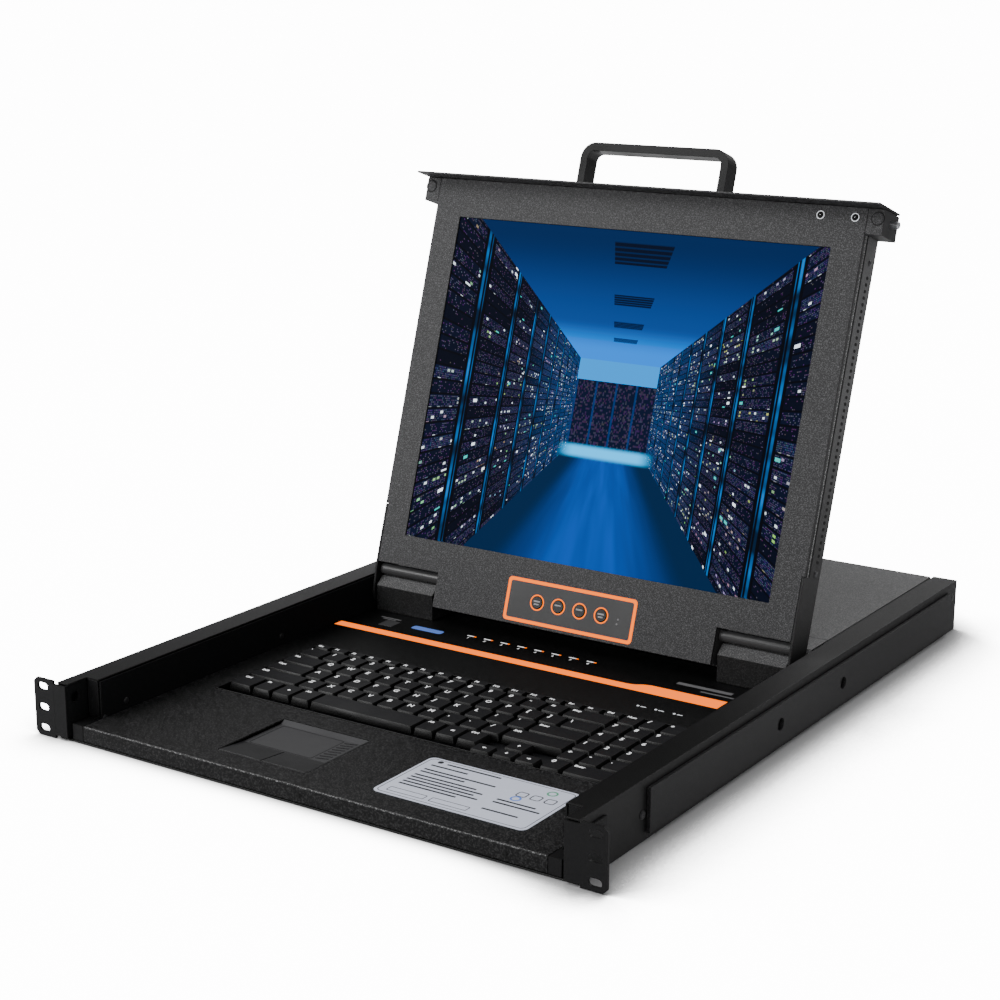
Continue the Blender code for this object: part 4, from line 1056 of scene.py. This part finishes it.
def build_monitor_side(side, name):
    """Bands, vent slots and screws. A plan here is (height, depth) with the heights negated."""
    facing = FACING["right" if side > 0 else "left"]
    edge = box_mm(f"side_plate_{name}")[side > 0].x
    turn = Matrix(((0, 0, -1), BACK, (side, 0, 0))).transposed().to_4x4()
    outward = Matrix.Translation((edge, 0, 0)) @ turn
    for kind, look, low, high, thick in SIDE_BANDS:
        band = rounded(-290.0, low, -24.0, high, 0.3, 2)
        prisms(f"vent_{kind}_{name}", [band], -0.1, thick, look, "monitor", "powder_coat", outward, MONITOR)
    heights = [-(SLOT_FIRST + SLOT_PITCH * i) for i in range(SLOTS)]
    # The vent slots are black sheets: painted shade where the openings are.
    slots = [rounded(v - 1.25, SLOT_LOW, v + 1.25, SLOT_HIGH, 1.2, 4) for v in heights]
    prisms(f"side_vents_{name}", slots, 0.0, 0.4, "void", "monitor", "powder_coat", outward, MONITOR)
    slot_line = (SLOT_LOW + SLOT_HIGH) / 2
    spots = [Matrix.Translation((edge + side * BAND_THICK, slot_line, v)) @ facing for v in (27.0, 264.0)]
    screws(f"side_screws_{name}", spots, 2.4, "dark_screw", "monitor", MONITOR)


def build_monitor_back():
    """Screws and two banks of vent slots on the rear cover."""
    to_monitor = MONITOR.inverted()
    depth = max((to_monitor @ vertex.co).y for vertex in NODES["rear_cover"].data.vertices) / MM
    spots = [Matrix.Translation((x, depth, v)) @ FACING["rear"] for x in (-178, 178) for v in (10, 140, 262)]
    screws("cover_screws", spots, 2.6, "dark_screw", "monitor", MONITOR)
    # The vent slots are black sheets: painted shade where the openings are.
    slots = [rounded(x - 1.2, -v - 20, x + 1.2, -v, 1.1, 3) for x in range(-108, 109, 6) for v in (40, 222)]
    turn = Matrix.Translation((0, depth, 0)) @ FACING["rear"]
    prisms("cover_vents", slots, -0.1, 0.06, "void", "monitor", "powder_coat", turn, MONITOR)


# ------------------------------------ chassis

REAR = box_mm("rear_panel")[1].y


def build_screws():
    """Screws in the drawer's walls, the chassis walls and the rear panel."""
    inner, wall = box_mm("tray_pan")[0].x + 1.2, box_mm("chassis_shell")[1].x
    spots = ((47.4, 19.8), (25.2, 13.1), (224.4, 21.0))
    places = [at(x, y, z, facing) for x, facing in ((inner, "right"), (-inner, "left")) for y, z in spots]
    screws("tray_wall_screws", places, 2.4, "button", "drawer")
    spots = ((78.6, 19.0), (600.0, 30.0))
    places = [at(x, y, z, facing) for x, facing in ((-wall, "left"), (wall, "right")) for y, z in spots]
    screws("wall_screws", places, 3.2, "button", "chassis")
    spots = [(x, z) for x in (-205, 205) for z in (8, 34)] + [(112, 20)]
    screws("rear_screws", [at(x, REAR, z, "rear") for x, z in spots], 2.6, "chrome", "chassis")


def build_slide_ends():
    """A plate that closes each slide's front end, beside the drawer wall."""
    for side, name in ((-1, "left"), (1, "right")):
        low, high = sorted((side * 199.6, side * 210.0))
        bm = bmesh.new()
        place = Matrix.Translation((0, 23.1, 0)) @ FACING["front"]
        add_prism(bm, rounded(low, 14.2, high, 41.3, 0.8, 3), 0.0, 1.1, place)
        piece(f"slide_end_{name}", bm, "wall", "drawer", bevel=0.4)


LEG_PITCH = 1.6


def add_chip(bm, pins, x, y, base, width, length):
    """A flat chip with a row of legs on its two long sides."""
    outline = rounded(x - width / 2, y - length / 2, x + width / 2, y + length / 2, 0.3, 2)
    add_prism(bm, outline, base + 0.3, base + 1.8)
    legs = int(length / LEG_PITCH)
    for k in range(legs):
        v = y + (k - (legs - 1) / 2) * LEG_PITCH
        for side in (-1, 1):
            leg = bar(x + side * (width / 2 + 0.6) - 0.9, v - 0.35, 1.8, 0.7)
            add_prism(pins, leg, base - 0.05, base + 0.6)


CAN = [(0, 0), (3.6, 0), (3.6, 0.8), (3.3, 1.2), (3.6, 1.6), (3.6, 9.6), (3.2, 10.0), (2.6, 9.8), (0, 9.8)]
CAN_SPOTS = [(-165, 70), (-154, 70), (-165, 84), (-154, 84)]
CAN_SPOTS += [(75, 62), (75, 76), (-96, 22), (-96, 34), (86, 18)]
COOLER_LEFT, COOLER_FRONT, COOLER_LENGTH = -22.0, 14.0, 34.0


def build_board():
    """Chips, capacitors and a cooler on the switch board."""
    low, high = box_mm("switch_board")
    base, front = high.z, low.y
    chips, pins, cans = bmesh.new(), bmesh.new(), bmesh.new()
    for i in range(PORTS):
        x = -107.0 + PORT_PITCH * i
        add_chip(chips, pins, x, front + 112.0, base, 7.0, 12.8)
        add_chip(chips, pins, x, front + 84.0, base, 5.0, 8.0)
    for x in (-150.0, -60.0, 58.0):
        add_chip(chips, pins, x, front + 30.0, base, 20.0, 20.0)
    for x, y in CAN_SPOTS:
        add_lathe(cans, CAN, at(x, front + y, base - 0.05), 16)
    piece("board_chips", chips, "button", "chassis", bevel=0.1)
    piece("board_pins", pins, "chrome", "chassis")
    piece("board_capacitors", cans, "zinc", "chassis")
    cooler, y = bmesh.new(), front + COOLER_FRONT
    add_prism(cooler, bar(COOLER_LEFT, y, 40.0, COOLER_LENGTH), base - 0.05, base + 3.0)
    for k in range(9):
        fin = bar(COOLER_LEFT + 4.85 * k, y, 1.2, COOLER_LENGTH)
        add_prism(cooler, fin, base + 2.9, base + 12.0)
    piece("board_cooler", cooler, "slide", "chassis", bevel=0.15)


def behind(*depths):
    """Depths in from the rear face, as heights for a shape that is turned to the front."""
    return [depth - REAR for depth in depths]


def middle(name):
    """The x and z of a connector's middle."""
    low, high = box_mm(name)
    return (low.x + high.x) / 2, (low.z + high.z) / 2


def build_rear_ports():
    """Contacts in the computer ports and tongues in the USB ports."""
    low, high = box_mm("computer_ports")
    pitch = (high.x - low.x) / PORTS
    contacts = []
    for i in range(PORTS):
        for k in range(8):
            x = low.x + pitch * (i + 0.5) + (k - 3.5) * 1.02
            contacts.append(bar(x - 0.17, high.z - 3.75, 0.34, 0.4))
    turn = FACING["front"]
    prisms("port_contacts", contacts, *behind(3.0, 12.0), "gold", "chassis", "connector_metal", turn)
    low, high = box_mm("console_usb_ports")
    heights = [low.z + 1.4 + 7.6 * i + 3.2 for i in range(2)]
    tongues = [rounded(low.x + 2.4, z, high.x - 2.4, z + 1.5, 0.3, 2) for z in heights]
    prisms("usb_tongues", tongues, *behind(0.8, 10.5), "connector", "chassis", "connector_black", turn)


def build_video_port():
    """The insert with its holes, the shell around it and the jack posts."""
    x, z = middle("console_video_port")
    turn = FACING["front"]
    insert = d_shape(x, z, 8.3, 4.1)
    prisms("video_insert", [insert], *behind(0.6, 5.2), "insert", "chassis", "connector_black", turn)
    bm = bmesh.new()
    add_ring(bm, d_shape(x, z, 8.9, 4.6), d_shape(x, z, 8.4, 4.2), *behind(-1.0, 5.4), turn)
    for post_x in (x - 12.4, x + 12.4):
        add_ring(bm, disc(post_x, z, 2.5, 6), disc(post_x, z, 1.2, 6), *behind(-1.0, 5.4), turn)
    piece("video_shell", bm, "chrome", "chassis")
    # The insert's holes are black discs: painted shade where the holes are.
    holes = []
    for rise, shift in ((-2.0, 0.0), (0.0, 0.6), (2.0, 0.0)):
        holes += [disc(x + (k - 2) * 2.3 + shift, z + rise, 0.45, 8) for k in range(5)]
    prisms("video_holes", holes, *behind(0.5, 0.7), "void", "chassis", "connector_black", turn)


def build_power_end():
    """The blades of the power inlet, and the vent holes at the other end of the rear panel."""
    x, z = middle("power_inlet")
    turn = FACING["front"]
    blades = []
    for pin_x, pin_z in ((x - 7.0, z - 2.5), (x + 7.0, z - 2.5), (x, z + 2.0)):
        blades.append(rounded(pin_x - 1.0, pin_z - 2.6, pin_x + 1.0, pin_z + 2.6, 0.4, 2))
    prisms("inlet_blades", blades, *behind(2.5, 14.0), "chrome", "chassis", "connector_metal", turn)
    # The vent holes are shallow black dishes: painted shade where the openings are.
    bm = bmesh.new()
    for row in range(5):
        for column in range(13):
            x = -198.0 + 5.6 * column + 2.8 * (row % 2)
            hole = [(0, -0.3), (1.9, -0.3), (1.9, 0.04), (1.7, 0.08), (0, 0.08)]
            add_lathe(bm, hole, at(x, REAR, 11.0 + 4.9 * row, "rear"), 12)
    piece("rear_vents", bm, "void", "chassis")


def d_shape(x, z, half_width, half_height):
    """A trapezium with cut corners, wide side up."""
    cut = 1.6
    return [
        (x - half_width + cut, z - half_height), (x + half_width - cut, z - half_height),
        (x + half_width - 0.6, z - half_height + 1.0), (x + half_width, z + half_height - 1.2),
        (x + half_width - 1.0, z + half_height), (x - half_width + 1.0, z + half_height),
        (x - half_width, z + half_height - 1.2), (x - half_width + 0.6, z - half_height + 1.0),
    ]


# ------------------------------------ stage


FLOOR_GLOW, BACKDROP, WORLD_LIGHT = 14.0, 14.0, 0.30
# The camera sees a darker floor base than the light bounces off, as part of the painted shadow.
FLOOR_LIT, FLOOR_SEEN = (0.80, 0.80, 0.81), (0.36, 0.36, 0.365)
FLOOR_SIZE, FLOOR_GAP = 30.0, 0.0005
# Painted shadow on the floor: its reach, the openness from which it starts, and its depth in front and to
# the right.
SHADOW_REACH, OPEN_FROM = 0.13, 0.93
FRONT_DEPTH, SIDE_DEPTH = 4.5, 12.0


def build_floor():
    bm = bmesh.new()
    bmesh.ops.create_grid(bm, x_segments=1, y_segments=1, size=FLOOR_SIZE)
    mesh = bpy.data.meshes.new("floor")
    bm.to_mesh(mesh)
    bm.free()
    mesh.materials.append(floor_white())
    floor = add_object("floor", mesh)
    floor.location = (0.0, 0.0, -FLOOR_GAP)


def floor_white():
    """Glows white for the camera, with a painted shadow: the glow dims where the object closes off the sky,
    more deeply to the right, over a darker base colour that only the camera sees.
    """
    g = Graph("floor_white")
    seen = g.tree.nodes.new("ShaderNodeLightPath").outputs["Is Camera Ray"]
    openness = g.tree.nodes.new("ShaderNodeAmbientOcclusion")
    openness.samples = 16
    openness.inputs["Distance"].default_value = SHADOW_REACH
    openness = g.math("MINIMUM", g.math("DIVIDE", openness.outputs["AO"], OPEN_FROM), 1.0)
    painted_shadow_power = g.steps(g.dot(g.place, RIGHT), 0.10, 0.24, FRONT_DEPTH, SIDE_DEPTH)
    glow = g.times(g.math("POWER", openness, painted_shadow_power), FLOOR_GLOW)
    g.set(
        Base_Color=g.mix(seen, FLOOR_LIT, FLOOR_SEEN), Roughness=0.85, Specular_IOR_Level=0.1,
        Emission_Color=(1.0, 1.0, 1.0), Emission_Strength=g.times(seen, glow),
    )
    return g.material


def build_world():
    """Seen white by the camera, and dimmer as a light."""
    world = bpy.data.worlds.new("studio")
    world.use_nodes = True
    nodes = world.node_tree.nodes
    seen = nodes.new("ShaderNodeLightPath").outputs["Is Camera Ray"]
    strength = nodes.new("ShaderNodeMapRange")
    strength.inputs["To Min"].default_value = WORLD_LIGHT
    strength.inputs["To Max"].default_value = BACKDROP
    world.node_tree.links.new(seen, strength.inputs["Value"])
    world.node_tree.links.new(strength.outputs[0], nodes["Background"].inputs[1])
    nodes["Background"].inputs[0].default_value = (1.0, 1.0, 1.0, 1.0)
    bpy.context.scene.world = world


def soft_light(name, location, target, size, power):
    data = bpy.data.lights.new(name, "AREA")
    data.shape = "RECTANGLE"
    data.size, data.size_y = size
    data.energy = power
    obj = add_object(name, data)
    obj.location = location
    obj.rotation_mode = "QUATERNION"
    obj.rotation_quaternion = (Vector(target) - Vector(location)).to_track_quat("-Z", "Y")


CAMERA_AT = (0.80396, -1.26687, 0.53184)
AZIMUTH, ELEVATION, ROLL = 33.25, 15.40, 0.35
LENS, SHIFT_X, SHIFT_Y = 72.70, -0.01526, 0.03343


def build_camera():
    data = bpy.data.cameras.new("camera")
    data.lens, data.shift_x, data.shift_y = LENS, SHIFT_X, SHIFT_Y
    data.sensor_width = 36.0
    data.clip_start, data.clip_end = 0.01, 100.0
    azimuth, tilt, roll = (math.radians(angle) for angle in (AZIMUTH, 90.0 - ELEVATION, ROLL))
    turn = Matrix.Rotation(azimuth, 4, "Z") @ Matrix.Rotation(tilt, 4, "X") @ Matrix.Rotation(roll, 4, "Z")
    camera = add_object("camera", data)
    camera.matrix_world = Matrix.Translation(CAMERA_AT) @ turn
    bpy.context.scene.camera = camera


dress_nodes()
build_keys()
build_deck()
build_lip()
build_label()
build_touchpad()
build_osd()
build_bezel_corners()
build_monitor_side(-1, "left")
build_monitor_side(1, "right")
build_monitor_back()
build_screws()
build_slide_ends()
build_rear_ports()
build_video_port()
build_power_end()
build_board()
build_floor()
build_world()
soft_light("key_light", (-1.2, -1.0, 1.9), (0, 0, 0.1), (1.6, 1.2), 38.0)
soft_light("rim_light", (0.6, 1.9, 1.6), (0, 0.1, 0.2), (1.8, 0.8), 26.0)
soft_light("front_light", (0.9, -2.0, 0.9), (0, 0, 0.15), (1.4, 1.0), 16.0)
soft_light("deck_light", (-0.75, -0.95, 0.55), (-0.12, -0.22, 0.0), (0.5, 0.4), 5.6)
build_camera()
